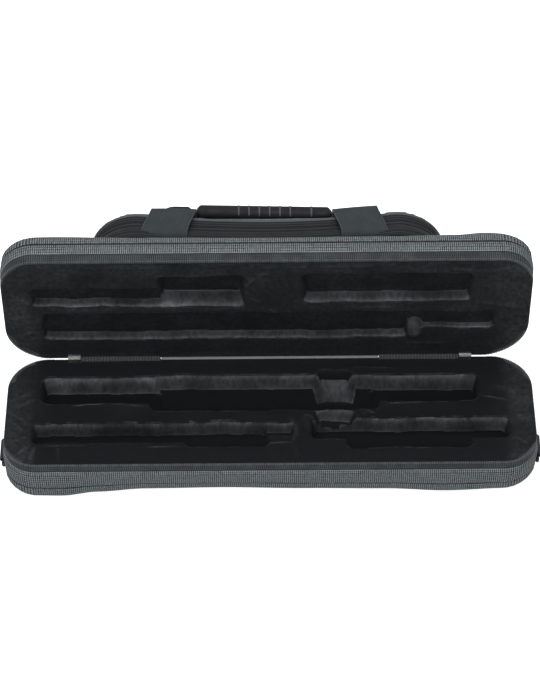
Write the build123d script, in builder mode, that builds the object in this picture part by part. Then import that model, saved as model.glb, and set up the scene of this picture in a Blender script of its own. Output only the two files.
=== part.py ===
"""Flute case: two padded halves that zip together round the rim, with the lid standing open.

Frame: X runs along the case, -Y is the front, +Z is up. The origin is on the surface that the
case rests on, under the middle of the base. Millimetres and degrees.

Each half is drawn on its own rim plane, where the two halves meet. On both rim planes local X
runs along the case and local Y points to the hinge. Local Z points up out of the base's rim and
out of the lid's back, so `outward` says which way along it a half grows from its rim.
"""

import os
from math import cos, radians, sin
from typing import NamedTuple

from build123d import *

os.makedirs("parts", exist_ok=True)

# ---------------------------------------------------------------- the two halves
case_length = 420.0
case_depth = 108.0
base_height = 45.0
lid_height = 38.0
front_corner = 27.0  # plan radius of the two front corners
back_corner = 34.0  # plan radius of the two corners at the hinge
base_edge_radius = 7.0  # rounding between the walls and the bottom
lid_edge_radius = 9.0  # rounding between the walls and the top
open_angle = 94.0  # from closed to the pose that is modelled

skin_thickness = 1.2  # woven cover and zip tape
lining_thickness = 2.0  # plush on a thin backing
tape_width = 8.5  # zip tape showing round each rim
coil_height = 0.6  # zip coil standing proud of each rim
coil_width = 1.6
coil_gap = 0.4  # between the two coils when the case is closed
base_seam = 29.0  # depth below the rim where wall cover and bottom cover are sewn together
lid_seam = 20.0

# ---------------------------------------------------------------- hinge and closed zip ends
hinge_clear = 5.2  # radius kept free round the hinge line along the straight back
hinge_strip_length = 176.0
hinge_strip_thickness = 1.0
hinge_fold_gap = 1.3  # from each leaf of the strip to the fold line
back_zip_start_gap = 0.6  # along X, between the strip and the closed zip
back_coil_radius = 1.4

# ---------------------------------------------------------------- main sliders and pulls
slider_length = 10.0
slider_setback = 17.5  # slider centre from where the straight back ends
back_zip_overrun = 1.0  # how far the sliders' centres stand past the ends of the closed zip
slider_radius = 4.7
slider_inside = 3.4  # from the hinge line to the inner plate's face
slider_outside = 2.4
slider_running_gap = 0.4
tongue_gap = 0.6  # between the outer plate and the back wall
tongue_drop = 8.8  # outer plate below the hinge line
tongue_overlap = 2.0  # of the outer plate and the slider's round body
cheek_thickness = 1.2
cheek_height = 2.8
cheek_reach = 3.6
pull_pin_radius = 0.8
pull_pin_reach = 2.1  # pin centre beyond the outer plate
pin_fit = 0.08  # radial clearance of an eye on its pin
eye_wall = 0.92
pull_side_gap = 0.3
pull_width = 4.4
pull_thickness = 1.6
pull_length = 21.0

# ---------------------------------------------------------------- accessory pocket on the lid
pocket_length = 280.0
pocket_back_setback = 15.0  # from the lid's back wall to the pocket
pocket_front_setback = 8.0  # from the lid's front wall to the ends of the pocket's front edge
pocket_corner = 40.0
pocket_corner_share = 0.48  # of the pocket's depth, past which its corners aren't rounded
pocket_sag = 6.5  # how far the front edge draws in at mid-length
pocket_wall = 1.5
gusset_height = 8.5
pocket_tape_height = 12.0
piping_height = 3.2
piping_proud = 1.2
piping_round = 1.1
pocket_panel_thickness = 3.0
pocket_panel_round = 1.4
pocket_coil_height = 3.0
pocket_coil_proud = 1.0
pocket_zip_end = 60.0  # where the pocket's zip stops on the hinge side, from mid-length

pocket_slider_place = 66.0  # slider centre from mid-length, parked on the hinge side
pocket_slider_length = 9.0
pocket_slider_width = 8.0
pocket_slider_reach = 3.4  # from the gusset to the slider's face
pocket_slider_gap = 0.35
pocket_pull_length = 20.0

# ---------------------------------------------------------------- handle
band_width = 38.0
band_thickness = 2.0
band_root = 81.0  # band centre from mid-length where it is sewn down
band_top = 73.5  # band centre where it folds over the pocket
band_root_reach = 1.3  # root centre in front of the ends of the pocket's front edge
band_root_rise = 1.1  # root centre above the lid
band_standoff = 4.5  # band centre in front of the pocket's front edge, half-way up
band_bend_rise = 10.0
band_bend_radius = 5.0
band_fold_radius = 5.0
band_lift = 1.9  # under the band's tail, over the pocket panel
band_tail = 22.0  # from the fold to the end of the band, inside the handle's ear

grip_length = 108.0
grip_width = 24.0
grip_height = 16.0
grip_round = 6.5
grip_lift = 1.3  # under the grip, over the pocket panel
grip_place = 14.5  # from the ends of the pocket's front edge back to the grip's middle
ear_length = 27.0
ear_width = 20.0
ear_height = 10.2
ear_overlap = 3.0  # of each ear and the round end of the grip
ear_corner = 6.6
rib_count = 7
rib_pitch = 8.2
rib_width = 1.8
rib_proud = 0.8

# ---------------------------------------------------------------- strap rings on the end walls
tab_width = 20.0
tab_thickness = 1.6
tab_gap = 0.5  # from the tab's upper end to the zip tape
ring_offset = 19.0  # ring's middle in front of mid-depth
ring_wire = 1.5  # wire radius
ring_width = 30.0
ring_drop = 15.0
ring_corner = 4.0
ring_height_share = 4 / 9  # height of the ring's bar above the table, of the base's height
ring_stand = 3.6  # from the end wall to the middle of the bar
ring_fit = 0.25  # radial clearance of the bar in its tab


# ---------------------------------------------------------------- recesses in the lining
left_end, right_end = -case_length / 2, case_length / 2
front_side, hinge_side = -case_depth / 2, case_depth / 2


class Recess(NamedTuple):
    """A recess in the lining, in rim coordinates: Y grows towards the hinge."""

    x_start: float
    x_stop: float
    y_start: float
    y_stop: float
    depth: float


recess_corner = 4.0
head_joint_stop = -6.0  # inner end of the head joint's row in the base
foot_joint_start = 28.0
ridge_front = -11.5  # front flank of the ridge between the two rows
ridge_foot = -9.5
ridge_back = 10.5
base_recesses = {
    "body_joint": Recess(left_end + 26.0, right_end - 42.0, ridge_back, hinge_side - 15.5, 22.0),
    "body_keys": Recess(left_end + 116.0, right_end - 122.0, -1.0, hinge_side - 15.5, 18.0),
    "head_joint": Recess(left_end + 21.0, head_joint_stop, front_side + 23.0, ridge_front, 18.0),
    "lip_plate": Recess(left_end + 142.0, head_joint_stop, front_side + 19.0, ridge_front, 16.0),
    "foot_joint": Recess(foot_joint_start, right_end - 20.0, front_side + 26.0, ridge_foot, 17.0),
    "foot_keys": Recess(foot_joint_start + 30.0, right_end - 50.0, front_side + 18.0, ridge_foot, 16.0),
}
lid_head_stop = -18.0
lid_foot_start = 28.0
lid_ridge_front = -9.0
lid_ridge_foot = -8.0
lid_ridge_back = 3.0
lid_recesses = {
    "body_joint": Recess(left_end + 26.0, right_end - 94.0, lid_ridge_back, hinge_side - 24.0, 10.0),
    "body_socket": Recess(right_end - 106.0, right_end - 26.0, lid_ridge_back, hinge_side - 34.5, 9.0),
    "head_joint": Recess(left_end + 16.0, lid_head_stop, front_side + 26.5, lid_ridge_front, 9.5),
    "lip_plate": Recess(left_end + 122.0, lid_head_stop, front_side + 16.0, lid_ridge_front, 18.0),
    "foot_joint": Recess(lid_foot_start, right_end - 46.0, front_side + 16.0, lid_ridge_foot, 13.0),
}
scoop_middle = 52.0  # finger scoop across the base's lining
scoop_half_length = 14.0
scoop_depth = 9.0
scoop_front = -12.0
scoop_back = 44.0

# ---------------------------------------------------------------- derived places
half_length = case_length / 2
half_depth = case_depth / 2
rim_gap = 2 * coil_height + coil_gap
back_straight = case_length - 2 * back_corner
slider_place = back_straight / 2 - slider_setback
back_zip_end = slider_place - back_zip_overrun
tab_top = base_height - tape_width - tab_gap
ring_height = base_height * ring_height_share
hinge_point = Vector(0, half_depth, base_height + rim_gap / 2)
along_lid = Vector(0, -cos(radians(open_angle)), sin(radians(open_angle)))
out_of_lid = Vector(0, sin(radians(open_angle)), cos(radians(open_angle)))
lid_origin = hinge_point + along_lid * half_depth + out_of_lid * (rim_gap / 2)


class Half(NamedTuple):
    """One half of the case: its rim plane, which way it grows from it, and how far."""

    name: str
    rim: Plane
    outward: int
    height: float
    edge: float
    seam: float
    recesses: dict


base_rim = Plane((0, 0, base_height))
lid_rim = Plane(lid_origin, (1, 0, 0), out_of_lid)
base = Half("base", base_rim, -1, base_height, base_edge_radius, base_seam, base_recesses)
lid = Half("lid", lid_rim, 1, lid_height, lid_edge_radius, lid_seam, lid_recesses)


def finish(piece: BuildPart, name: str) -> None:
    """Labels a finished piece and writes it."""
    piece.part.label = name
    export_step(piece.part, f"parts/{name}.step")


def level(half: Half, depth: float) -> Plane:
    """The plane that lies `depth` outward from a half's rim."""
    return half.rim.offset(half.outward * depth)


def grow(half: Half, sketch: BuildSketch, amount: float, mode: Mode = Mode.ADD) -> None:
    """Extrudes a sketch outward from the rim, into the part that is being built."""
    extrude(sketch.sketch, amount=half.outward * amount, mode=mode)


# ---------------------------------------------------------------- outer form
def case_block(half: Half, inset: float, start: float = 0.0) -> Part:
    """A half as one solid, drawn in by `inset` all round and starting `start` below its rim."""
    with BuildPart() as block:
        with BuildSketch(level(half, start)) as outline:
            Rectangle(case_length - 2 * inset, case_depth - 2 * inset)
            fillet(outline.vertices().group_by(Axis.Y)[0], front_corner - inset)
            fillet(outline.vertices().group_by(Axis.Y)[-1], back_corner - inset)
        grow(half, outline, half.height - inset - start)
        outward_axis = Axis(half.rim.origin, half.rim.z_dir * half.outward)
        fillet(block.faces().sort_by(outward_axis)[-1].edges(), half.edge - inset)
    return block.part


def keep_between(half: Half, start: float, stop: float) -> None:
    """Keeps what lies between two depths below the rim."""
    with BuildSketch(level(half, start)) as everything:
        Rectangle(2 * case_length, 2 * case_depth)
    grow(half, everything, stop - start, Mode.INTERSECT)


def hinge_section(x: float) -> Plane:
    """The plane across the hinge line at x. Local X is +Y and local Y is +Z, from the hinge."""
    return Plane(hinge_point + Vector(x, 0, 0), (0, 1, 0), (1, 0, 0))


with BuildPart() as rebate:  # the room round the hinge line that both halves leave free
    with BuildSketch(hinge_section(-back_straight / 2)):
        Circle(hinge_clear)
    extrude(amount=back_straight)


def make_skin(half: Half, start: float, stop: float, thickness: float, name: str) -> None:
    """A band of cover, tape or coil that follows the outer form between two depths."""
    with BuildPart() as skin:
        add(case_block(half, 0, start))
        add(case_block(half, thickness, start), mode=Mode.SUBTRACT)
        keep_between(half, start, stop)
        add(rebate.part, mode=Mode.SUBTRACT)
    finish(skin, name)


def cut_or_add_recesses(half: Half, wall: float, mode: Mode) -> None:
    """Extrudes a half's recesses, each grown by `wall`, from its rim."""
    for recess in half.recesses.values():
        middle = ((recess.x_start + recess.x_stop) / 2, (recess.y_start + recess.y_stop) / 2)
        length = recess.x_stop - recess.x_start + 2 * wall
        width = recess.y_stop - recess.y_start + 2 * wall
        with BuildSketch(half.rim) as mouth:
            with Locations(middle):
                RectangleRounded(length, width, recess_corner + wall)
        grow(half, mouth, recess.depth + wall, mode)
    if half is base:
        scoop_radius = (scoop_half_length**2 + scoop_depth**2) / (2 * scoop_depth)
        with BuildSketch(Plane.XZ.offset(-scoop_back - wall)) as scoop:
            with Locations((scoop_middle, base_height - scoop_depth + scoop_radius)):
                Circle(scoop_radius + wall)
            with Locations((scoop_middle, base_height / 2)):
                Rectangle(case_length, base_height, mode=Mode.INTERSECT)
        extrude(scoop.sketch, amount=scoop_back - scoop_front + 2 * wall, mode=mode)


def make_lining(half: Half) -> None:
    """Plush lining: a skin over the rim and down into every recess."""
    with BuildPart() as lining:
        add(case_block(half, skin_thickness))
        keep_between(half, 0, lining_thickness)
        cut_or_add_recesses(half, lining_thickness, Mode.ADD)
        cut_or_add_recesses(half, 0, Mode.SUBTRACT)
        add(rebate.part, mode=Mode.SUBTRACT)
    finish(lining, f"{half.name}_lining")


def make_shell(half: Half) -> None:
    """Moulded foam core between the cover and the lining."""
    with BuildPart() as shell:
        add(case_block(half, skin_thickness, lining_thickness))
        cut_or_add_recesses(half, lining_thickness, Mode.SUBTRACT)
        add(rebate.part, mode=Mode.SUBTRACT)
    finish(shell, f"{half.name}_foam_shell")


outer_cover_names = {"base": "base_bottom_cover", "lid": "lid_top_cover"}
for half in (base, lid):
    make_skin(half, -coil_height, 0, coil_width, f"{half.name}_zip_coil")
    make_skin(half, 0, tape_width, skin_thickness, f"{half.name}_zip_tape")
    make_skin(half, tape_width, half.seam, skin_thickness, f"{half.name}_wall_cover")
    make_skin(half, half.seam, half.height, skin_thickness, outer_cover_names[half.name])
    make_lining(half)
    make_shell(half)


# ---------------------------------------------------------------- fabric hinge, closed zip ends
def hinge_leaf(half: Half, x_start: float, x_stop: float, fold_gap: float) -> None:
    """Adds a leaf of tape from near the hinge line to the wall, flush with the outer face."""
    with BuildSketch(level(half, fold_gap - rim_gap / 2)) as leaf:
        with Locations(((x_start + x_stop) / 2, half_depth - hinge_strip_thickness / 2)):
            Rectangle(abs(x_stop - x_start), hinge_strip_thickness)
    grow(half, leaf, hinge_clear)
    add(rebate.part, mode=Mode.INTERSECT)


for half in (base, lid):
    with BuildPart() as strip:
        hinge_leaf(half, -hinge_strip_length / 2, hinge_strip_length / 2, hinge_fold_gap)
    finish(strip, f"hinge_strip_{half.name}")

sides = {"left": -1, "right": 1}
for side_name, side in sides.items():
    with BuildPart() as back_zip:
        zip_start = hinge_strip_length / 2 + back_zip_start_gap
        hinge_leaf(base, side * zip_start, side * back_zip_end, 0)
        with BuildSketch(hinge_section(side * zip_start)):
            Circle(back_coil_radius)
        extrude(amount=side * (back_zip_end - zip_start))
    finish(back_zip, f"back_zip_{side_name}")


# ---------------------------------------------------------------- main sliders and pulls
pull_pin_out = slider_outside + pull_pin_reach
pull_pin_down = tongue_drop - cheek_height / 2
eye_radius = pull_pin_radius + pin_fit + eye_wall
cheek_span = pull_width + 2 * pull_side_gap + 2 * cheek_thickness

for side_name, side in sides.items():
    slider_middle = side * slider_place
    with BuildPart() as slider:
        with BuildSketch(hinge_section(slider_middle - slider_length / 2)):
            Circle(slider_radius)
            with Locations(((slider_outside - slider_inside) / 2, 0)):
                Rectangle(slider_outside + slider_inside, 2 * slider_radius, mode=Mode.INTERSECT)
            with Locations(((slider_outside + tongue_gap) / 2, -tongue_drop)):
                tongue_size = (slider_outside - tongue_gap, tongue_drop - tongue_overlap)
                Rectangle(*tongue_size, align=(Align.CENTER, Align.MIN))
            Circle(back_coil_radius + slider_running_gap, mode=Mode.SUBTRACT)
            with Locations((-hinge_strip_thickness / 2, -slider_radius)):
                slot_width = hinge_strip_thickness + 2 * slider_running_gap
                Rectangle(slot_width, 2 * slider_radius, mode=Mode.SUBTRACT)
        extrude(amount=slider_length)
        for cheek_side in (-1, 1):
            cheek_start = slider_middle + cheek_side * (cheek_span / 2 - cheek_thickness)
            with BuildSketch(hinge_section(cheek_start)):
                with Locations((slider_outside + cheek_reach / 2, -pull_pin_down)):
                    Rectangle(cheek_reach, cheek_height)
            extrude(amount=cheek_side * cheek_thickness)
        with BuildSketch(hinge_section(slider_middle - cheek_span / 2)):
            with Locations((pull_pin_out, -pull_pin_down)):
                Circle(pull_pin_radius)
        extrude(amount=cheek_span)
    finish(slider, f"main_slider_{side_name}")

    with BuildPart() as pull:
        with BuildSketch(hinge_section(slider_middle - pull_width / 2)):
            with Locations((pull_pin_out, -pull_pin_down)):
                Circle(eye_radius)
            with Locations((pull_pin_out, -pull_pin_down - pull_length / 2)):
                Rectangle(pull_thickness, pull_length)
            with Locations((pull_pin_out, -pull_pin_down)):
                Circle(pull_pin_radius + pin_fit, mode=Mode.SUBTRACT)
        extrude(amount=pull_width)
    finish(pull, f"main_pull_{side_name}")


# ---------------------------------------------------------------- accessory pocket
pocket_front = -half_depth + pocket_front_setback
pocket_back = half_depth - pocket_back_setback
pocket_straight = pocket_length / 2 - pocket_corner
sag_radius = (pocket_straight**2 + pocket_sag**2) / (2 * pocket_sag)
tape_level = lid_height + gusset_height
piping_level = tape_level + pocket_tape_height
panel_level = piping_level + piping_height
pocket_face = panel_level + pocket_panel_thickness


def pocket_outline(height: float, spread: float) -> Sketch:
    """The pocket's plan outline at a height over the lid's rim, grown by `spread`."""
    with BuildSketch(lid.rim.offset(height)) as outline:
        with Locations((0, pocket_back)):
            Rectangle(pocket_length, 2 * case_depth, align=(Align.CENTER, Align.MAX))
        with Locations((0, pocket_front + pocket_sag - sag_radius)):
            Circle(sag_radius, mode=Mode.SUBTRACT)
        upper = outline.faces().sort_by(Axis.Y)[-1]
        fillet(upper.vertices(), min(pocket_corner, pocket_corner_share * (pocket_back - pocket_front)))
        if spread:
            offset(amount=spread)
    return outline.sketch


def make_pocket_ring(start: float, height: float, spread: float, inset: float) -> Part:
    """A ring that follows the pocket's outline, from `inset` inside it to `spread` outside."""
    with BuildPart() as ring:
        extrude(pocket_outline(start, spread), amount=height)
        extrude(pocket_outline(start, -inset), amount=height, mode=Mode.SUBTRACT)
    return ring.part


with BuildPart() as pocket_gusset:
    add(make_pocket_ring(lid_height, gusset_height, 0, pocket_wall))
finish(pocket_gusset, "pocket_gusset")

with BuildPart() as pocket_tape:
    add(make_pocket_ring(tape_level, pocket_tape_height, 0, pocket_wall))
finish(pocket_tape, "pocket_zip_tape")

coil_level = tape_level + (pocket_tape_height - pocket_coil_height) / 2
with BuildPart() as pocket_coil:
    add(make_pocket_ring(coil_level, pocket_coil_height, pocket_coil_proud, 0))
    with BuildSketch(lid.rim.offset(coil_level)):
        with Locations((0, pocket_back)):
            Rectangle(2 * pocket_zip_end, pocket_corner)
    extrude(amount=pocket_coil_height, mode=Mode.SUBTRACT)
finish(pocket_coil, "pocket_zip_coil")

lid_axis = Axis(lid.rim.origin, lid.rim.z_dir)
with BuildPart() as piping:
    add(make_pocket_ring(piping_level, piping_height, piping_proud, pocket_wall))
    for face in piping.faces().filter_by(lid_axis):
        fillet(face.outer_wire().edges(), piping_round)
finish(piping, "pocket_piping")

with BuildPart() as pocket_panel:
    extrude(pocket_outline(panel_level, 0), amount=pocket_panel_thickness)
    fillet(pocket_panel.faces().sort_by(lid_axis)[-1].edges(), pocket_panel_round)
finish(pocket_panel, "pocket_panel")


def lid_section(x: float) -> Plane:
    """The plane across the lid at x. Local X points to the hinge and local Y out of the lid."""
    return Plane(lid.rim.origin + Vector(x, 0, 0), lid.rim.y_dir, (1, 0, 0))


slider_face = pocket_back + pocket_slider_reach
pocket_pin = (pocket_slider_place, slider_face + pull_pin_reach)
coil_middle = coil_level + pocket_coil_height / 2

with BuildPart() as pocket_slider:
    with BuildSketch(lid_section(pocket_slider_place - pocket_slider_length / 2)):
        body_start = pocket_back + pocket_slider_gap
        with Locations(((body_start + slider_face) / 2, coil_middle)):
            Rectangle(slider_face - body_start, pocket_slider_width)
        groove = pocket_coil_proud + pocket_slider_gap
        with Locations((pocket_back + groove / 2, coil_middle)):
            groove_height = pocket_coil_height + 2 * pocket_slider_gap
            Rectangle(groove, groove_height, mode=Mode.SUBTRACT)
    extrude(amount=pocket_slider_length)
    for cheek_side in (-1, 1):
        cheek_level = coil_middle + cheek_side * (cheek_span / 2 - cheek_thickness)
        with BuildSketch(lid.rim.offset(cheek_level)):
            with Locations((pocket_slider_place, slider_face + cheek_reach / 2)):
                Rectangle(cheek_height, cheek_reach)
        extrude(amount=cheek_side * cheek_thickness)
    with BuildSketch(lid.rim.offset(coil_middle - cheek_span / 2)):
        with Locations(pocket_pin):
            Circle(pull_pin_radius)
    extrude(amount=cheek_span)
finish(pocket_slider, "pocket_slider")

with BuildPart() as pocket_pull:
    with BuildSketch(lid.rim.offset(coil_middle - pull_width / 2)):
        with Locations(pocket_pin):
            Circle(eye_radius)
            Rectangle(pull_thickness, pocket_pull_length, align=(Align.CENTER, Align.MIN))
            Circle(pull_pin_radius + pin_fit, mode=Mode.SUBTRACT)
    extrude(amount=pull_width)
finish(pocket_pull, "pocket_pull")


# ---------------------------------------------------------------- carrying handle
band_top_level = pocket_face + band_lift + band_thickness / 2
band_out = pocket_front - band_standoff
band_path = [
    (pocket_front - band_root_reach, lid_height + band_root_rise),
    (band_out, lid_height + band_bend_rise),
    (band_out, band_top_level),
    (band_out + band_fold_radius + band_tail, band_top_level),
]
band_straighten = band_top_level - band_fold_radius


def band_strip(side: int) -> Part:
    """A carrying band on one side: from its root, up past the pocket, and over to the ear."""
    root_x = side * band_root
    top_x = side * band_top
    half_width = band_width / 2
    with BuildPart() as band:
        with BuildSketch(lid_section(top_x - band_width)):
            with BuildLine() as route:
                FilletPolyline(*band_path, radius=[band_bend_radius, band_fold_radius])
            trace(route.line, band_thickness)
        extrude(amount=2 * band_width)
        with BuildSketch(Plane(lid.rim.origin, (1, 0, 0), -lid.rim.y_dir)):
            with BuildLine():
                Polyline(
                    (root_x - half_width, 0),
                    (root_x + half_width, 0),
                    (root_x + half_width, band_path[0][1]),
                    (top_x + half_width, band_straighten),
                    (top_x + half_width, 2 * band_top_level),
                    (top_x - half_width, 2 * band_top_level),
                    (top_x - half_width, band_straighten),
                    (root_x - half_width, band_path[0][1]),
                    close=True,
                )
            make_face()
        extrude(amount=case_depth, both=True, mode=Mode.INTERSECT)
    return band.part


for side_name, side in sides.items():
    with BuildPart() as webbing:
        add(band_strip(side))
    finish(webbing, f"webbing_band_{side_name}")

grip_middle = pocket_front + grip_place
grip_bottom = pocket_face + grip_lift
with BuildPart() as grip:
    with BuildSketch(lid_section(-grip_length / 2)):
        with Locations((grip_middle, grip_bottom + grip_height / 2)):
            RectangleRounded(grip_width, grip_height, grip_round)
    extrude(amount=grip_length)
    fillet(grip.faces().filter_by(Axis.X).edges(), grip_round - rib_proud)
    for place in range(rib_count):
        rib_x = (place - (rib_count - 1) / 2) * rib_pitch
        with BuildSketch(lid_section(rib_x - rib_width / 2)):
            with Locations((grip_middle, grip_bottom + grip_height / 2)):
                ribbed_round = grip_round + rib_proud
                RectangleRounded(grip_width + 2 * rib_proud, grip_height + 2 * rib_proud, ribbed_round)
        extrude(amount=rib_width)
    for side in sides.values():
        with BuildSketch(lid.rim.offset(grip_bottom)) as ear:
            ear_start = side * (grip_length / 2 - 2 * ear_overlap)
            with Locations((ear_start + side * (ear_length + 2 * ear_overlap) / 2, grip_middle)):
                Rectangle(ear_length + 2 * ear_overlap, ear_width)
            corners = ear.vertices().sort_by(Axis.X)
            fillet(corners[:2] if side < 0 else corners[-2:], ear_corner)
        extrude(amount=ear_height)
    for side in sides.values():
        add(band_strip(side), mode=Mode.SUBTRACT)
finish(grip, "handle_grip")


# ---------------------------------------------------------------- strap rings
for side_name, side in sides.items():
    bar_x = side * (half_length + ring_stand)
    with BuildPart() as tab:
        with BuildSketch(Plane.XZ.offset(ring_offset - tab_width / 2)):
            with Locations((side * (half_length + tab_thickness / 2), ring_height)):
                Rectangle(tab_thickness, tab_top - ring_height, align=(Align.CENTER, Align.MIN))
            with Locations((bar_x, ring_height)):
                Circle(ring_wire + ring_fit + tab_thickness)
                Circle(ring_wire + ring_fit, mode=Mode.SUBTRACT)
        extrude(amount=tab_width)
    finish(tab, f"end_tab_{side_name}")

    with BuildPart() as ring:
        with BuildLine(Plane.YZ.offset(bar_x)) as route:
            ring_start = -ring_offset - ring_width / 2
            ring_stop = -ring_offset + ring_width / 2
            FilletPolyline(
                (ring_start, ring_height),
                (ring_stop, ring_height),
                (ring_stop, ring_height - ring_drop),
                (ring_start, ring_height - ring_drop),
                radius=ring_corner,
                close=True,
            )
        with BuildSketch(Plane(route.line @ 0, z_dir=route.line % 0)):
            Circle(ring_wire)
        sweep()
    finish(ring, f"d_ring_{side_name}")
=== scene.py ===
"""Looks of a soft flute case: two zipped halves round moulded plush, an accessory pocket, a handle.

Each class is one sub-assembly. Its sizes are in millimetres on the rim plane of the half that
carries it: X along the case, Y towards the hinge, and depth outward from the rim.
"""

import logging
import math
from collections.abc import Callable, Iterable, Sequence
from dataclasses import dataclass
from enum import Enum

import bmesh
import bpy
from bmesh.types import BMesh, BMVert
from mathutils import Matrix, Vector, noise
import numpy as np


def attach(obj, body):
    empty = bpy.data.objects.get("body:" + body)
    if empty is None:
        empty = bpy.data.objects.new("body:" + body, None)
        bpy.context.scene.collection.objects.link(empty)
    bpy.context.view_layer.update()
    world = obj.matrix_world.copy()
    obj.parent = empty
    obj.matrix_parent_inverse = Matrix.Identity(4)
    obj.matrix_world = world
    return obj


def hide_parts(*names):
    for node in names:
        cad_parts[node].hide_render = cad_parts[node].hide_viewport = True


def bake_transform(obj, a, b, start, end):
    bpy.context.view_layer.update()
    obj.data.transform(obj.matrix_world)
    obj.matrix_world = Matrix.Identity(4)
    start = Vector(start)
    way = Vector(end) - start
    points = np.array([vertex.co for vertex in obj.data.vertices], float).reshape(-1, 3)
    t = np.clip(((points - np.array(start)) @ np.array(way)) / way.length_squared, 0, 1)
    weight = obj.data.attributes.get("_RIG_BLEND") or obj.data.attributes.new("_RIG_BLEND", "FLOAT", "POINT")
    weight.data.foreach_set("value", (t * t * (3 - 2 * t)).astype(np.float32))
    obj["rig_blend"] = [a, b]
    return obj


Socket = bpy.types.NodeSocket
Tree = bpy.types.NodeTree
Material = bpy.types.Material
Piece = bpy.types.Object
Pair = tuple[float, float]
Three = tuple[float, float, float]
Four = tuple[float, float, float, float]
Row = list[BMVert]
Places = dict[BMVert, Pair]

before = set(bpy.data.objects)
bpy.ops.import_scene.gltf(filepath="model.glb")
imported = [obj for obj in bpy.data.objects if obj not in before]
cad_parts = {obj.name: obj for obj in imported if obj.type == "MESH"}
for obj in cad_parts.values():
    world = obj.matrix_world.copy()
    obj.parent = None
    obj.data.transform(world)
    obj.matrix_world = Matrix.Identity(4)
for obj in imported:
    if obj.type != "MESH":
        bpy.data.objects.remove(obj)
log = logging.getLogger("flute_case")

MM = 0.001
OPEN_ANGLE = math.radians(94.0)
RIM_GAP = 1.6
LID_LEAN = -2.0
POCKET_LEAN = -1.0
SIDES = {"left": -1, "right": 1}
# Plush layers: how far down a hollow, then the painted crest highlight, the painted light and shade of the
# land, and the painted light on walls.
PILE_LAYERS = ("fall", "crest_highlight", "land_lighting", "facing")
STITCH_SHARE = 0.68
CLOTH_START = 100.0
CROWN_RUN = 16.0
HINGE_LINE = Vector((0.0, 54.0, 45.8))
LID_ALONG = Vector((0.0, -math.cos(OPEN_ANGLE), math.sin(OPEN_ANGLE)))
LID_OUT = Vector((0.0, math.sin(OPEN_ANGLE), math.cos(OPEN_ANGLE)))


# ------------------------------------------------------------------------------ small helpers
def smoothstep(value: float) -> float:
    """Eases a value from 0 to 1, flat at both ends."""
    t = min(max(value, 0.0), 1.0)
    return t * t * (3.0 - 2.0 * t)


def waver(x: float, y: float, seed: float) -> float:
    """Smooth noise from -1 to 1 at a point, different for each seed."""
    return noise.noise(Vector((x, y, seed)))


def new_material(name: str) -> tuple[Material, "Board"]:
    """Starts a material with a Principled shader.

    Args:
        name: the finish in a maker's words.

    Returns:
        The material, and a board to draw its nodes on.
    """
    material = bpy.data.materials.new(name)
    material.use_nodes = True
    material.node_tree.nodes.clear()
    return material, Board(material.node_tree)


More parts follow.
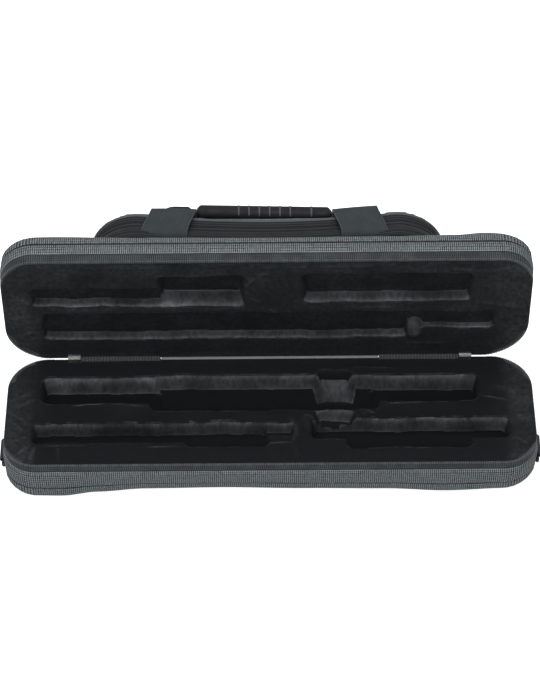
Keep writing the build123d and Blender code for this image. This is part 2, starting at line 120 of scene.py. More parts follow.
class Board:
    """A node tree with short calls for adding and joining nodes."""

    def __init__(self, tree: Tree) -> None:
        """Keeps the tree to draw on."""
        self.tree = tree

    def node(self, kind: str, **settings: object) -> bpy.types.Node:
        """Adds a node, sets its properties, and returns it."""
        made = self.tree.nodes.new(kind)
        for key, value in settings.items():
            setattr(made, key, value)
        return made

    def feed(self, socket: Socket, value: object) -> None:
        """Links a socket into another, or sets it to a plain value."""
        if isinstance(value, Socket):
            self.tree.links.new(value, socket)
        else:
            socket.default_value = value

    def math(self, operation: str, *values: object, clamp: bool = False) -> Socket:
        """A Math node on the given values; returns its result."""
        made = self.node("ShaderNodeMath", operation=operation, use_clamp=clamp)
        for socket, value in zip(made.inputs, values):
            self.feed(socket, value)
        return made.outputs[0]

    def times(self, first: object, second: object, clamp: bool = False) -> Socket:
        """The product of two values."""
        return self.math("MULTIPLY", first, second, clamp=clamp)

    def plus(self, first: object, second: object, clamp: bool = False) -> Socket:
        """The sum of two values."""
        return self.math("ADD", first, second, clamp=clamp)

    def ramp(
        self, value: object, low: float, high: float, to_low: float = 0.0, to_high: float = 1.0
    ) -> Socket:
        """Maps a value between two ranges, eased and held at the ends."""
        made = self.node("ShaderNodeMapRange", interpolation_type="SMOOTHSTEP")
        for socket, given in zip(made.inputs, (value, low, high, to_low, to_high)):
            self.feed(socket, given)
        return made.outputs[0]

    def mix(self, share: object, first: object, second: object) -> Socket:
        """Mixes two colours."""
        made = self.node("ShaderNodeMix", data_type="RGBA")
        self.feed(made.inputs[0], share)
        self.feed(made.inputs[6], first)
        self.feed(made.inputs[7], second)
        return made.outputs[2]

    def noise(self, vector: object, scale: float, detail: float = 2.0) -> Socket:
        """Noise from 0 to 1, with a scale in cells per metre."""
        made = self.node("ShaderNodeTexNoise")
        self.feed(made.inputs["Vector"], vector)
        self.feed(made.inputs["Scale"], scale)
        self.feed(made.inputs["Detail"], detail)
        return made.outputs["Fac"]

    def bump(self, height: object, distance: float, strength: float = 1.0) -> Socket:
        """A Bump node on a height; returns the normal."""
        made = self.node("ShaderNodeBump")
        made.inputs["Strength"].default_value = strength
        made.inputs["Distance"].default_value = distance
        self.feed(made.inputs["Height"], height)
        return made.outputs["Normal"]

    def place(self, group: Tree, **values: object) -> bpy.types.Node:
        """Puts a node group on the board with its own values."""
        made = self.node("ShaderNodeGroup", node_tree=group)
        for key, value in values.items():
            self.feed(made.inputs[key.replace("_", " ")], value)
        return made

    def uv(self) -> Socket:
        """The piece's own UV map, in metres along and down the cloth."""
        return self.node("ShaderNodeUVMap", uv_map="cloth").outputs[0]

    def place_in_space(self) -> Socket:
        """Object coordinates, in metres."""
        return self.node("ShaderNodeTexCoord").outputs["Object"]

    def split(self, vector: object) -> bpy.types.bpy_prop_collection:
        """The X, Y and Z of a vector."""
        made = self.node("ShaderNodeSeparateXYZ")
        self.feed(made.inputs[0], vector)
        return made.outputs

    def layer(self, name: str) -> Socket:
        """A value that the piece keeps on its vertices."""
        return self.node("ShaderNodeAttribute", attribute_name=name).outputs["Fac"]

    def with_seam_shadow(self, colour: object, seam: tuple) -> Socket:
        """Paints shadow into a colour where the piece is sewn: the seam colour is a painted seam shadow."""
        return self.mix(self.ramp(self.layer("seam"), 0.1, 0.9), colour, seam)

    def surface(self, **values: object) -> None:
        """Ends the tree in a Principled shader with the given inputs."""
        shader = self.node("ShaderNodeBsdfPrincipled")
        for key, value in values.items():
            self.feed(shader.inputs[key.replace("_", " ")], value)
        output = self.node("ShaderNodeOutputMaterial")
        self.feed(output.inputs["Surface"], shader.outputs[0])


def new_group(
    name: str, inputs: dict[str, object], outputs: dict[str, str]
) -> tuple[Tree, Board, dict, dict]:
    """Starts a shader node group.

    Args:
        name: the effect in plain words.
        inputs: default value of each named input; a tuple of 4 is a colour, of 3 a vector.
        outputs: socket type of each named output, "Color" or "Float".

    Returns:
        The group, a board on it, its inputs' sockets and its outputs' sockets.
    """
    group = bpy.data.node_groups.new(name, "ShaderNodeTree")
    for key, value in inputs.items():
        kind = {4: "Color", 3: "Vector"}.get(len(value) if isinstance(value, tuple) else 1, "Float")
        socket = group.interface.new_socket(key, in_out="INPUT", socket_type=f"NodeSocket{kind}")
        if kind != "Vector":
            socket.default_value = value
    for key, kind in outputs.items():
        group.interface.new_socket(key, in_out="OUTPUT", socket_type=f"NodeSocket{kind}")
    board = Board(group)
    entry = board.node("NodeGroupInput")
    ending = board.node("NodeGroupOutput")
    return group, board, entry.outputs, ending.inputs


def grey(red: int, green: int, blue: int) -> Four:
    """A colour from 8-bit display values."""
    shares = [value / 255 for value in (red, green, blue)]
    linear = [((v + 0.055) / 1.055) ** 2.4 if v > 0.04 else v / 12.92 for v in shares]
    return (*linear, 1.0)


# ------------------------------------------------------------------------------ shared effects
class Effects:
    """Node groups that more than one finish uses, each built once."""

    def __init__(self) -> None:
        """Builds every shared effect."""
        self.thread = self._thread()
        self.mottle = self._mottle()
        self.dots = self._dots()

    def mottled(self, board: Board, vector: Socket, blotch: float, grain: float) -> list[Socket]:
        """The mottle on a material.

        Args:
            board: the material's board.
            vector: where the pattern lies.
            blotch: blotches per metre.
            grain: grains per metre.

        Returns:
            The blotches and the grain.
        """
        group = board.place(self.mottle, Vector=vector, Blotch_Scale=blotch, Grain_Scale=grain)
        return list(group.outputs)

    @staticmethod
    def _thread() -> Tree:
        """Crossed threads: warp lines across U, weft lines across V, and a value for each crossing."""
        group, board, given, result = new_group(
            "crossed_threads",
            {"Vector": (0.0, 0.0, 0.0), "Warp Pitch": 0.00175, "Weft Pitch": 0.0026, "Stray": 0.15},
            {"Warp": "Float", "Weft": "Float", "Height": "Float", "Cell": "Float"},
        )
        axes = board.split(given["Vector"])
        waves, steps = {}, {}
        stray = board.math("SUBTRACT", board.noise(given["Vector"], 260.0, 1.0), 0.5)
        stray = board.times(stray, given["Stray"])
        for axis, pitch in (("X", "Warp Pitch"), ("Y", "Weft Pitch")):
            turns = board.plus(board.math("DIVIDE", axes[axis], given[pitch]), stray)
            wave = board.math("SINE", board.times(turns, 2 * math.pi))
            waves[axis] = board.math("MULTIPLY_ADD", wave, 0.5, 0.5)
            steps[axis] = board.math("FLOOR", board.times(turns, 2.0))
        crossing = board.node("ShaderNodeCombineXYZ")
        board.feed(crossing.inputs[0], steps["X"])
        board.feed(crossing.inputs[1], steps["Y"])
        cell = board.node("ShaderNodeTexWhiteNoise", noise_dimensions="2D")
        board.feed(cell.inputs["Vector"], crossing.outputs[0])
        board.feed(result["Warp"], waves["X"])
        board.feed(result["Weft"], waves["Y"])
        board.feed(result["Height"], board.times(waves["X"], waves["Y"]))
        board.feed(result["Cell"], cell.outputs["Value"])
        return group

    @staticmethod
    def _mottle() -> Tree:
        """Soft blotches over fine grain, for dust, rubbing and uneven dye."""
        group, board, given, result = new_group(
            "mottle",
            {"Vector": (0.0, 0.0, 0.0), "Blotch Scale": 40.0, "Grain Scale": 900.0},
            {"Blotch": "Float", "Grain": "Float"},
        )
        blotch = board.noise(given["Vector"], given["Blotch Scale"], 3.0)
        grain = board.noise(given["Vector"], given["Grain Scale"], 2.0)
        board.feed(result["Blotch"], board.ramp(blotch, 0.3, 0.7))
        board.feed(result["Grain"], grain)
        return group

    @staticmethod
    def _dots() -> Tree:
        """A row of stitches along U at one level of V."""
        group, board, given, result = new_group(
            "stitch_row",
            {"Vector": (0.0, 0.0, 0.0), "Level": 0.001, "Half Width": 0.0004, "Pitch": 0.0024},
            {"Mask": "Float"},
        )
        axes = board.split(given["Vector"])
        away = board.math("ABSOLUTE", board.math("SUBTRACT", axes["Y"], given["Level"]))
        across = board.math("LESS_THAN", away, given["Half Width"])
        turns = board.math("FRACT", board.math("DIVIDE", axes["X"], given["Pitch"]))
        along = board.math("LESS_THAN", turns, STITCH_SHARE)
        board.feed(result["Mask"], board.times(across, along))
        return group


# ------------------------------------------------------------------------------ finishes
@dataclass(frozen=True)
class Tweed:
    """Woven polyester: fine light and dark threads, dark broken weft lines, stitched below the seam, with
    painted shadow along its seams and painted shade down the lid's wall.
    """

    dark: tuple = grey(20, 22, 24)
    light: tuple = grey(131, 138, 142)
    line: tuple = grey(34, 37, 39)
    # Colour of the painted shadow in the seams and of the painted shade down the lid's wall.
    seam: tuple = grey(26, 28, 29)
    stitch: tuple = grey(140, 145, 147)
    warp_pitch: float = 1.62
    weft_pitch: float = 2.7

    def make(self, effects: Effects) -> Material:
        """Builds the material."""
        material, board = new_material("tweed")
        uv = board.uv()
        warp, weft = self.warp_pitch * MM, self.weft_pitch * MM
        threads = board.place(effects.thread, Vector=uv, Warp_Pitch=warp, Weft_Pitch=weft, Stray=0.12)
        blotch, _ = effects.mottled(board, uv, 26.0, 1600.0)
        warp = board.times(board.ramp(threads.outputs["Warp"], 0.3, 0.8), 0.62)
        cell = board.times(threads.outputs["Cell"], 0.3)
        share = board.plus(board.plus(warp, cell), 0.02)
        share = board.times(share, board.ramp(blotch, 0.0, 1.0, 0.86, 1.1), clamp=True)
        colour = board.mix(share, self.dark, self.light)
        weft = board.ramp(threads.outputs["Weft"], 0.0, 0.45, 0.85, 0.0)
        weft = board.times(weft, board.ramp(blotch, 0.3, 0.75, 0.35, 1.0))
        colour = board.mix(weft, colour, self.line)
        stitches = board.place(
            effects.dots, Vector=uv, Level=1.5 * MM, Half_Width=0.5 * MM, Pitch=self.warp_pitch * MM
        )
        stitched = board.times(stitches.outputs[0], board.ramp(blotch, 0.2, 0.8, 0.25, 0.8))
        colour = board.mix(stitched, colour, self.stitch)
        board.surface(
            Base_Color=board.with_seam_shadow(colour, self.seam),
            Roughness=board.ramp(blotch, 0.0, 1.0, 0.78, 0.9),
            Specular_IOR_Level=0.12,
            Normal=board.bump(threads.outputs["Height"], 0.0003, 0.6),
        )
        return material


@dataclass(frozen=True)
class RibbedTape:
    """Woven narrow tape with fine cross ribs and lengthwise lines, used for tape, gusset and hinge."""

    name: str
    dark: tuple
    light: tuple
    rib_pitch: float = 1.62
    line_pitch: float = 2.4
    rib_share: float = 0.45
    line_share: float = 0.35
    # Colour of the painted shadow at seams and pleats, and over the whole of the closed zip tapes.
    seam: tuple = grey(24, 26, 27)

    def make(self, effects: Effects) -> Material:
        """Builds the material."""
        material, board = new_material(self.name)
        uv = board.uv()
        warp, weft = self.rib_pitch * MM, self.line_pitch * MM
        threads = board.place(effects.thread, Vector=uv, Warp_Pitch=warp, Weft_Pitch=weft, Stray=0.1)
        blotch, grain = effects.mottled(board, uv, 60.0, 1700.0)
        ribs = board.times(threads.outputs["Warp"], self.rib_share)
        ribs = board.times(ribs, board.ramp(blotch, 0.1, 0.9, 0.45, 1.2))
        lines = board.times(threads.outputs["Weft"], self.line_share)
        rest = board.times(grain, 1.0 - self.rib_share - self.line_share)
        share = board.plus(board.plus(ribs, lines), rest, clamp=True)
        colour = board.mix(share, self.dark, self.light)
        board.surface(
            Base_Color=board.with_seam_shadow(colour, self.seam),
            Roughness=board.ramp(blotch, 0.0, 1.0, 0.72, 0.86),
            Specular_IOR_Level=0.1,
            Normal=board.bump(threads.outputs["Height"], 0.00025, 0.6),
        )
        return material


@dataclass(frozen=True)
class Herringbone:
    """Webbing woven in narrow slanting rows, with paler selvedges."""

    dark: tuple = grey(28, 32, 34)
    light: tuple = grey(62, 68, 71)
    edge: tuple = grey(86, 92, 96)
    pitch: float = 1.1
    column: float = 4.6
    half_width: float = 18.5

    def make(self, effects: Effects) -> Material:
        """Builds the material."""
        material, board = new_material("webbing")
        uv = board.uv()
        axes = board.split(uv)
        zigzag = board.math("PINGPONG", axes["Y"], self.column * MM / 2)
        slanted = board.plus(axes["X"], zigzag)
        wave = board.math("SINE", board.times(slanted, 2 * math.pi / (self.pitch * MM)))
        blotch, grain = effects.mottled(board, uv, 90.0, 1500.0)
        ground = board.math("MULTIPLY_ADD", grain, 0.7, 0.1)
        share = board.math("MULTIPLY_ADD", wave, 0.16, ground, clamp=True)
        colour = board.mix(share, self.dark, self.light)
        away = board.math("ABSOLUTE", axes["Y"])
        start, stop = (self.half_width - 1.1) * MM, (self.half_width - 0.5) * MM
        selvedge = board.ramp(away, start, stop, 0.0, 0.5)
        board.surface(
            Base_Color=board.mix(selvedge, colour, self.edge),
            Roughness=board.ramp(blotch, 0.0, 1.0, 0.66, 0.8),
            Specular_IOR_Level=0.14,
            Normal=board.bump(wave, 0.00012, 0.6),
        )
        return material


@dataclass(frozen=True)
class Plush:
    """Short-pile velvet: painted shade in the floors and on the darker land, painted light on walls that
    face the light, on crests and folds, and on the paler land.
    """

    # Darker pile colour, used as painted shade in the floors and on shaded land.
    shaded_pile: tuple = grey(19, 20, 22)
    land: tuple = grey(25, 26, 28)
    # Pale pile colour: painted light on lit walls, crests, folds and pale land.
    lit_pile: tuple = grey(106, 109, 112)

    def make(self, effects: Effects) -> Material:
        """Builds the material."""
        material, board = new_material("black_plush")
        place = board.place_in_space()
        _, grain = effects.mottled(board, place, 48.0, 1300.0)
        fall, crest_highlight, land_lighting, facing = (board.layer(name) for name in PILE_LAYERS)
        streak = board.noise(place, 300.0, 4.0)
        nap = board.node("ShaderNodeMapping")
        nap.inputs["Scale"].default_value = (1.5, 0.8, 0.6)
        board.feed(nap.inputs["Vector"], place)
        stroke = board.noise(nap.outputs[0], 230.0, 3.0)
        patch = board.ramp(board.noise(place, 34.0, 3.0), 0.3, 0.7, 0.5, 1.3)
        # Painted shade: floors and shaded land take the darker colour.
        ground = board.ramp(fall, 0.2, 0.8, 1.0, 0.0)
        ground = board.times(ground, board.ramp(streak, 0.25, 0.75, 0.6, 1.1), clamp=True)
        ground = board.times(ground, board.ramp(land_lighting, -1.0, 0.0))
        colour = board.mix(ground, self.shaded_pile, self.land)
        # Painted light on the walls and along their feet, where they face the light.
        wall = board.times(board.ramp(fall, 0.02, 0.1), board.ramp(fall, 0.9, 0.98, 1.0, 0.0))
        wall = board.times(wall, board.ramp(fall, 0.08, 0.5, 0.5, 0.27))
        foot = board.ramp(fall, 0.9, 0.95, 0.0, 0.34)
        foot = board.times(foot, board.ramp(fall, 0.97, 0.995, 1.0, 0.0))
        lit = board.times(wall, board.ramp(stroke, 0.28, 0.72, 0.7, 1.2))
        lit = board.times(board.math("MAXIMUM", lit, foot), facing)
        # Painted highlight along crests, and painted light on the pale land.
        edge = board.times(crest_highlight, board.ramp(streak, 0.3, 0.7, 0.6, 1.15))
        lit = board.math("MAXIMUM", lit, edge)
        lit = board.math("MAXIMUM", lit, board.times(land_lighting, board.ramp(streak, 0.25, 0.75, 0.08, 0.26)))
        colour = board.mix(board.times(lit, patch, clamp=True), colour, self.lit_pile)
        fuzz = board.plus(grain, streak)
        board.surface(
            Base_Color=colour,
            Roughness=board.ramp(grain, 0.3, 0.7, 0.88, 1.0),
            Specular_IOR_Level=0.04,
            Sheen_Weight=0.03,
            Sheen_Roughness=0.5,
            Sheen_Tint=grey(160, 162, 165),
            Normal=board.bump(fuzz, 0.0006, 0.5),
        )
        return material


@dataclass(frozen=True)
class Moulded:
    """Plain moulded, rubber, painted or foam surface with grain and rubbed patches."""

    name: str
    colour: tuple
    rubbed: tuple
    roughness: float = 0.5
    grain_scale: float = 1400.0
    grain_depth: float = 0.12
    metallic: float = 0.0
    specular: float = 0.5
    # Painted highlight colour on the front of the grip's finger ribs.
    ridge: tuple = grey(76, 77, 80)

    def make(self, effects: Effects) -> Material:
        """Builds the material."""
        material, board = new_material(self.name)
        place = board.place_in_space()
        blotch, grain = effects.mottled(board, place, 120.0, self.grain_scale)
        share = board.times(blotch, board.ramp(grain, 0.4, 0.7, 0.1, 0.8))
        low = self.roughness - 0.08
        # The rib layer marks the painted highlight on the grip's finger ribs.
        rib = board.layer("rib")
        colour = board.mix(share, self.colour, self.rubbed)
        board.surface(
            Base_Color=board.mix(board.ramp(rib, 0.35, 0.85, 0.0, 0.8), colour, self.ridge),
            Metallic=self.metallic,
            Roughness=board.ramp(blotch, 0.0, 1.0, low, low + 0.16),
            Specular_IOR_Level=self.specular,
            Normal=board.bump(grain, self.grain_depth * MM, 0.6),
        )
        return material


class Finish(Enum):
    """Every finish of the case, with the name of its material slot."""

    TWEED = "woven_cover"
    TAPE = "zip_tape"
    COIL = "zip_coil"
    PLUSH = "black_plush"
    FOAM = "foam"
    HINGE_TAPE = "hinge_tape"
    SLIDER = "slider_metal"
    WEBBING = "webbing"
    BLACK_WEBBING = "black_webbing"
    PIPING = "piping"
    GUSSET = "gusset"
    RUBBER = "grip_rubber"
    RING = "ring_metal"


RECIPES = {
    Finish.TWEED: Tweed(),
    Finish.TAPE: RibbedTape(
        "zip_tape", grey(15, 17, 18), grey(74, 79, 82), rib_share=0.62, line_share=0.18
    ),
    Finish.COIL: Moulded("zip_coil", grey(50, 53, 55), grey(92, 96, 98), 0.55),
    Finish.PLUSH: Plush(),
    Finish.FOAM: Moulded("foam", grey(24, 24, 26), grey(34, 34, 36), 0.95, grain_depth=0.4),
    Finish.HINGE_TAPE: RibbedTape(
        "hinge_tape", grey(92, 94, 96), grey(132, 134, 136), 1.3, rib_share=0.3
    ),
    Finish.SLIDER: Moulded("nickel", grey(84, 84, 84), grey(124, 124, 122), 0.42, 900.0, 0.02, 0.9),
    Finish.WEBBING: Herringbone(),
    Finish.BLACK_WEBBING: RibbedTape("black_webbing", grey(24, 26, 27), grey(58, 62, 64), 1.1, 1.6),
    Finish.PIPING: Moulded("piping", grey(52, 56, 58), grey(86, 90, 93), 0.75),
    Finish.GUSSET: RibbedTape(
        "gusset", grey(9, 10, 11), grey(52, 55, 57), rib_share=0.15, line_share=0.65
    ),
    Finish.RUBBER: Moulded("grip_rubber", grey(11, 11, 13), grey(25, 25, 28), 0.62, specular=0.17),
    Finish.RING: Moulded("black_wire", grey(30, 31, 33), grey(60, 62, 66), 0.4, 900.0, 0.02, 0.6),
}


class Wardrobe:
    """Makes each finish once and puts it on pieces and CAD nodes."""

    def __init__(self) -> None:
        """Builds all materials."""
        effects = Effects()
        self.materials = {finish: recipe.make(effects) for finish, recipe in RECIPES.items()}

    def dress(self, piece: Piece, finish: Finish) -> None:
        """Gives a new piece its only material."""
        piece.data.materials.clear()
        piece.data.materials.append(self.materials[finish])

    def make(
        self,
        bm: BMesh,
        name: str,
        matrix: Matrix,
        finish: Finish,
        nodes: Sequence[str] = (),
        body: str = "",
    ) -> Piece:
        """Makes a dressed piece of a mesh.

        Args:
            bm: the mesh in local millimetres, which is freed.
            name: the piece's name.
            matrix: from local millimetres to the frame in metres.
            finish: its finish.
            nodes: the CAD nodes that it stands for.
            body: the body that it rides on, or nothing where it is joined later.

        Returns:
            The new object.
        """
        piece = write_piece(bm, name, matrix)
        self.dress(piece, finish)
        if nodes:
            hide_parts(*nodes)
        if body:
            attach(piece, body)
        log.info("%s: %d faces", piece.name, len(piece.data.polygons))
        return piece

    def dress_node(self, node: str, finish: Finish) -> None:
        """Gives a CAD node that stays shown its material."""
        for material_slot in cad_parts[node].material_slots:
            material_slot.material = self.materials[finish]


# ------------------------------------------------------------------------------ mesh tools
@dataclass(frozen=True)
class Seat:
    """Where a half's rim plane stands in the frame, and which way its depth goes."""

    origin: Vector
    across: Vector
    outward: Vector

    def moved(self, x: float) -> "Seat":
        """The seat moved along the case."""
        return Seat(self.origin + Vector((x, 0.0, 0.0)), self.across, self.outward)

    def matrix(self) -> Matrix:
        """Turns (x, y, depth) in millimetres into the frame, in metres."""
        columns = Matrix((Vector((1, 0, 0)), self.across, self.outward)).transposed().to_4x4()
        return Matrix.Translation(self.origin * MM) @ columns @ Matrix.Scale(MM, 4)


def write_piece(bm: BMesh, name: str, matrix: Matrix) -> Piece:
    """Moves a mesh into the frame and makes an object of it.

    Args:
        bm: the mesh in local millimetres, which is freed.
        name: the piece's name.
        matrix: from local millimetres to the frame in metres.

    Returns:
        The new object, at the origin, smooth shaded.
    """
    bmesh.ops.transform(bm, matrix=matrix, verts=bm.verts)
    if matrix.determinant() < 0:
        bmesh.ops.reverse_faces(bm, faces=bm.faces)
    for face in bm.faces:
        face.smooth = True
    mesh = bpy.data.meshes.new(name)
    bm.to_mesh(mesh)
    bm.free()
    piece = bpy.data.objects.new(name, mesh)
    bpy.context.scene.collection.objects.link(piece)
    return piece


def extrude_row(bm: BMesh, row: Sequence[BMVert], closed: bool = True) -> Row:
    """Extrudes a row of vertices and returns the new row in the same order."""
    pairs = list(zip(row, [*row[1:], row[0]] if closed else row[1:]))
    edges = [bm.edges.get(pair) for pair in pairs]
    made = bmesh.ops.extrude_edge_only(bm, edges=edges)["geom"]
    fresh = {item for item in made if isinstance(item, BMVert)}
    return [next(e.other_vert(v) for e in v.link_edges if e.other_vert(v) in fresh) for v in row]


def ribbon(
    cells: int,
    stations: Sequence[Pair],
    station_place: Callable[[int, float], tuple[Vector, float]],
    lengthwise: bool,
    seam: float = 0.0,
) -> BMesh:
    """A strip of cloth, extruded row by row through a section.

    Args:
        cells: cells in each row.
        stations: the section's points in order.
        station_place: gives, for a station's number and a share of the row from 0 to 1, the
            vertex's place and its distance along the row.
        lengthwise: whether the cloth's threads run along the section, not along the row.
        seam: how much painted seam shadow it has.

    Returns:
        The mesh, with its cloth UV map.
    """
    bm = bmesh.new()
    layer = bm.verts.layers.float.new("seam")
    bmesh.ops.create_grid(bm, x_segments=cells, y_segments=1, size=1.0)
    bmesh.ops.delete(bm, geom=bm.faces[:], context="FACES_ONLY")
    bmesh.ops.delete(bm, geom=[vert for vert in bm.verts if vert.co.y > 0], context="VERTS")
    row = sorted(bm.verts, key=lambda vert: vert.co.x)
    places: Places = {}
    travel = 0.0
    for number, station in enumerate(stations):
        if number:
            row = extrude_row(bm, row, closed=False)
            travel += math.dist(stations[number - 1], station)
        for index, vert in enumerate(row):
            vert.co, across = station_place(number, index / cells)
            vert[layer] = seam
            places[vert] = (travel, across) if lengthwise else (across, travel)
    set_cloth_uv(bm, places)
    bmesh.ops.recalc_face_normals(bm, faces=bm.faces)
    return bm


def add_block(bm: BMesh, place: Matrix, size: Three) -> None:
    """Adds a block of a size at a place."""
    bmesh.ops.create_cube(bm, size=1.0, matrix=place @ Matrix.Diagonal((*size, 1.0)))


def round_edges(bm: BMesh, offset: float, segments: int) -> None:
    """Bevels every edge of a mesh."""
    shape = {"offset": offset, "segments": segments, "profile": 0.5}
    bmesh.ops.bevel(bm, geom=list(bm.edges), affect="EDGES", material=-1, **shape)


def facing_turn(normal: Vector) -> tuple[Vector, Matrix]:
    """The direction along a ring at a place, and the turn of a block that stands across it there."""
    along = Vector((normal.y, -normal.x, 0))
    return along, Matrix((along, normal, Vector((0, 0, 1)))).transposed().to_4x4()


def close_bottom(bm: BMesh, row: Sequence[BMVert]) -> None:
    """Fills a closed row with one face and turns all faces outwards."""
    bmesh.ops.contextual_create(bm, geom=[bm.edges.get(pair) for pair in zip(row, [*row[1:], row[0]])])
    bmesh.ops.recalc_face_normals(bm, faces=bm.faces)


def boundary_ring(bm: BMesh, start: Vector) -> Row:
    """The boundary's vertices in order, from the one nearest to start, towards +X first."""
    edges = [edge for edge in bm.edges if edge.is_boundary]
    ends: dict[BMVert, Row] = {}
    for edge in edges:
        a, b = edge.verts
        ends.setdefault(a, []).append(b)
        ends.setdefault(b, []).append(a)
    first = min(ends, key=lambda vert: (vert.co - start).length)
    ring = [first, max(ends[first], key=lambda vert: vert.co.x)]
    while len(ring) < len(ends):
        ring.append(next(vert for vert in ends[ring[-1]] if vert is not ring[-2]))
    return ring


def set_cloth_uv(bm: BMesh, places: Places, wrap: float = 0.0) -> None:
    """Writes the cloth UV map, in metres.

    Args:
        bm: the mesh.
        places: each vertex's distance along and down the cloth, in millimetres.
        wrap: the length at which the distance along starts again, or 0.
    """
    layer = bm.loops.layers.uv.new("cloth")
    for face in bm.faces:
        along = [places[vert][0] for vert in face.verts]
        for loop in face.loops:
            u, v = places[loop.vert]
            if wrap and max(along) - u > wrap / 2:
                u += wrap
            loop[layer].uv = (u * MM, v * MM)


def hem(piece: Piece, thickness: float, offset: float = -1.0) -> None:
    """Gives a cloth piece its thickness, in millimetres, inward from its face."""
    solid = piece.modifiers.new("thickness", "SOLIDIFY")
    solid.thickness = thickness * MM
    solid.offset = offset


@dataclass(frozen=True)
class Plan:
    """A rounded plan outline: a rectangle with a radius at each corner.

    The corners are the front left, front right, back left and back right ones.
    """

    half_length: float
    half_depth: float
    corners: Four
    middle: float = 0.0
    sag: float = 0.0

    def inset(self, amount: float) -> "Plan":
        """The outline drawn in by an amount all round."""
        corners = tuple(corner - amount for corner in self.corners)
        return Plan(self.half_length - amount, self.half_depth - amount, corners, self.middle, self.sag)

    def inside(self, x: float, y: float) -> float:
        """Distance of a point in from the bounding rectangle."""
        return min(self.half_length - abs(x), self.half_depth - abs(y - self.middle))

    def warp(self, x: float, y: float) -> Pair:
        """Moves a point of the bounding rectangle so that the corners become round."""
        a, b = self.half_length, self.half_depth
        inside = min(a - abs(x), b - abs(y))
        corner = self.corners[(y > 0) * 2 + (x > 0)]
        radius = max(corner - inside, 0.0)
        on_end = a - abs(x) <= b - abs(y)
        away = (b - inside - abs(y)) if on_end else (a - inside - abs(x))
        px, py = x, y
        if away < radius:
            turn = math.radians(45) * (1 - away / radius)
            angle = turn if on_end else math.pi / 2 - turn
            px = math.copysign(a - inside - radius + radius * math.cos(angle), x)
            py = math.copysign(b - inside - radius + radius * math.sin(angle), y)
        if self.sag:
            reach = max(0.0, 1 - (px / (a - self.corners[0])) ** 2)
            py += self.sag * reach * (b - py) / (2 * b)
        return px, py + self.middle

    def sheet(
        self, along: float, across: float = 0.0, layers: Sequence[str] = ("seam",)
    ) -> tuple[BMesh, Row]:
        """A flat grid in the outline.

        Args:
            along: the wanted cell size in X.
            across: the wanted cell size in Y, or 0 for the same.
            layers: vertex attributes to add, all 0.

        Returns:
            The mesh, and its boundary in order from the middle of the back.
        """
        bm = bmesh.new()
        for layer in layers:
            bm.verts.layers.float.new(layer)
        columns = max(2, round(2 * self.half_length / along))
        rows = max(2, round(2 * self.half_depth / (across or along)))
        bmesh.ops.create_grid(bm, x_segments=columns, y_segments=rows, size=1.0)
        for vert in bm.verts:
            px, py = self.warp(vert.co.x * self.half_length, vert.co.y * self.half_depth)
            vert.co = Vector((px, py, 0.0))
        return bm, boundary_ring(bm, Vector((0.0, self.half_depth + self.middle, 0.0)))

    def hoop(self, step: float) -> tuple[BMesh, Row]:
        """The outline alone, as a ring of edges, with the ring in order."""
        bm, ring = self.sheet(step)
        keep = set(ring)
        bmesh.ops.delete(bm, geom=bm.faces[:], context="FACES_ONLY")
        pairs = {frozenset(pair) for pair in zip(ring, [*ring[1:], ring[0]])}
        loose = [edge for edge in bm.edges if frozenset(edge.verts) not in pairs]
        bmesh.ops.delete(bm, geom=loose, context="EDGES")
        bmesh.ops.delete(bm, geom=[vert for vert in bm.verts if vert not in keep], context="VERTS")
        return bm, ring


@dataclass(frozen=True)
class RingFrame:
    """Outward directions and distances along a closed row of points."""

    points: tuple[Vector, ...]
    normals: tuple[Vector, ...]
    along: tuple[float, ...]
    length: float

    def offset(self, index: int, outset: float, level: float) -> Vector:
        """A place outset from one of the row's points, at a level."""
        place = self.points[index] + self.normals[index] * outset
        place.z = level
        return place

    @staticmethod
    def of(ring: Sequence[BMVert]) -> "RingFrame":
        """Measures a ring that runs clockwise seen from +Z."""
        points = [vert.co.copy() for vert in ring]
        count = len(points)
        normals, along, total = [], [], 0.0
        for index, point in enumerate(points):
            tangent = (points[(index + 1) % count] - points[index - 1]).normalized()
            normals.append(Vector((-tangent.y, tangent.x, 0.0)))
            along.append(total)
            total += (points[(index + 1) % count] - point).length
        return RingFrame(tuple(points), tuple(normals), tuple(along), total)


def skirt(
    bm: BMesh,
    ring: Sequence[BMVert],
    profile: Iterable[Sequence[float]],
    places: Places,
    travel: float = 0.0,
) -> Row:
    """Extrudes a ring through a profile.

    Args:
        bm: the mesh that holds the ring.
        ring: the first row of vertices.
        profile: stations after the ring's own: depth, outset from the ring's outline, and where it has a
            third number, how much painted seam shadow there is.
        places: filled with each new vertex's distance along and down.
        travel: distance down at the ring itself.

    Returns:
        The last row.
    """
    layer = bm.verts.layers.float.get("seam")
    track = RingFrame.of(ring)
    row = list(ring)
    for index, vert in enumerate(row):
        places.setdefault(vert, (track.along[index], travel))
    previous = (ring[0].co.z, 0.0)
    for depth, outset, *shade in profile:
        travel += math.hypot(depth - previous[0], outset - previous[1])
        previous = (depth, outset)
        row = extrude_row(bm, row)
        for index, vert in enumerate(row):
            vert.co = track.offset(index, outset, depth)
            places[vert] = (track.along[index], travel)
            if layer:
                vert[layer] = shade[0] if shade else 0.0
    return row


def circle_row(bm: BMesh, segments: int) -> Row:
    """A closed row of vertices, in order round a circle."""
    bmesh.ops.create_circle(bm, segments=segments, radius=1.0, cap_ends=False)
    return sorted(bm.verts, key=lambda vert: math.atan2(vert.co.y, vert.co.x))


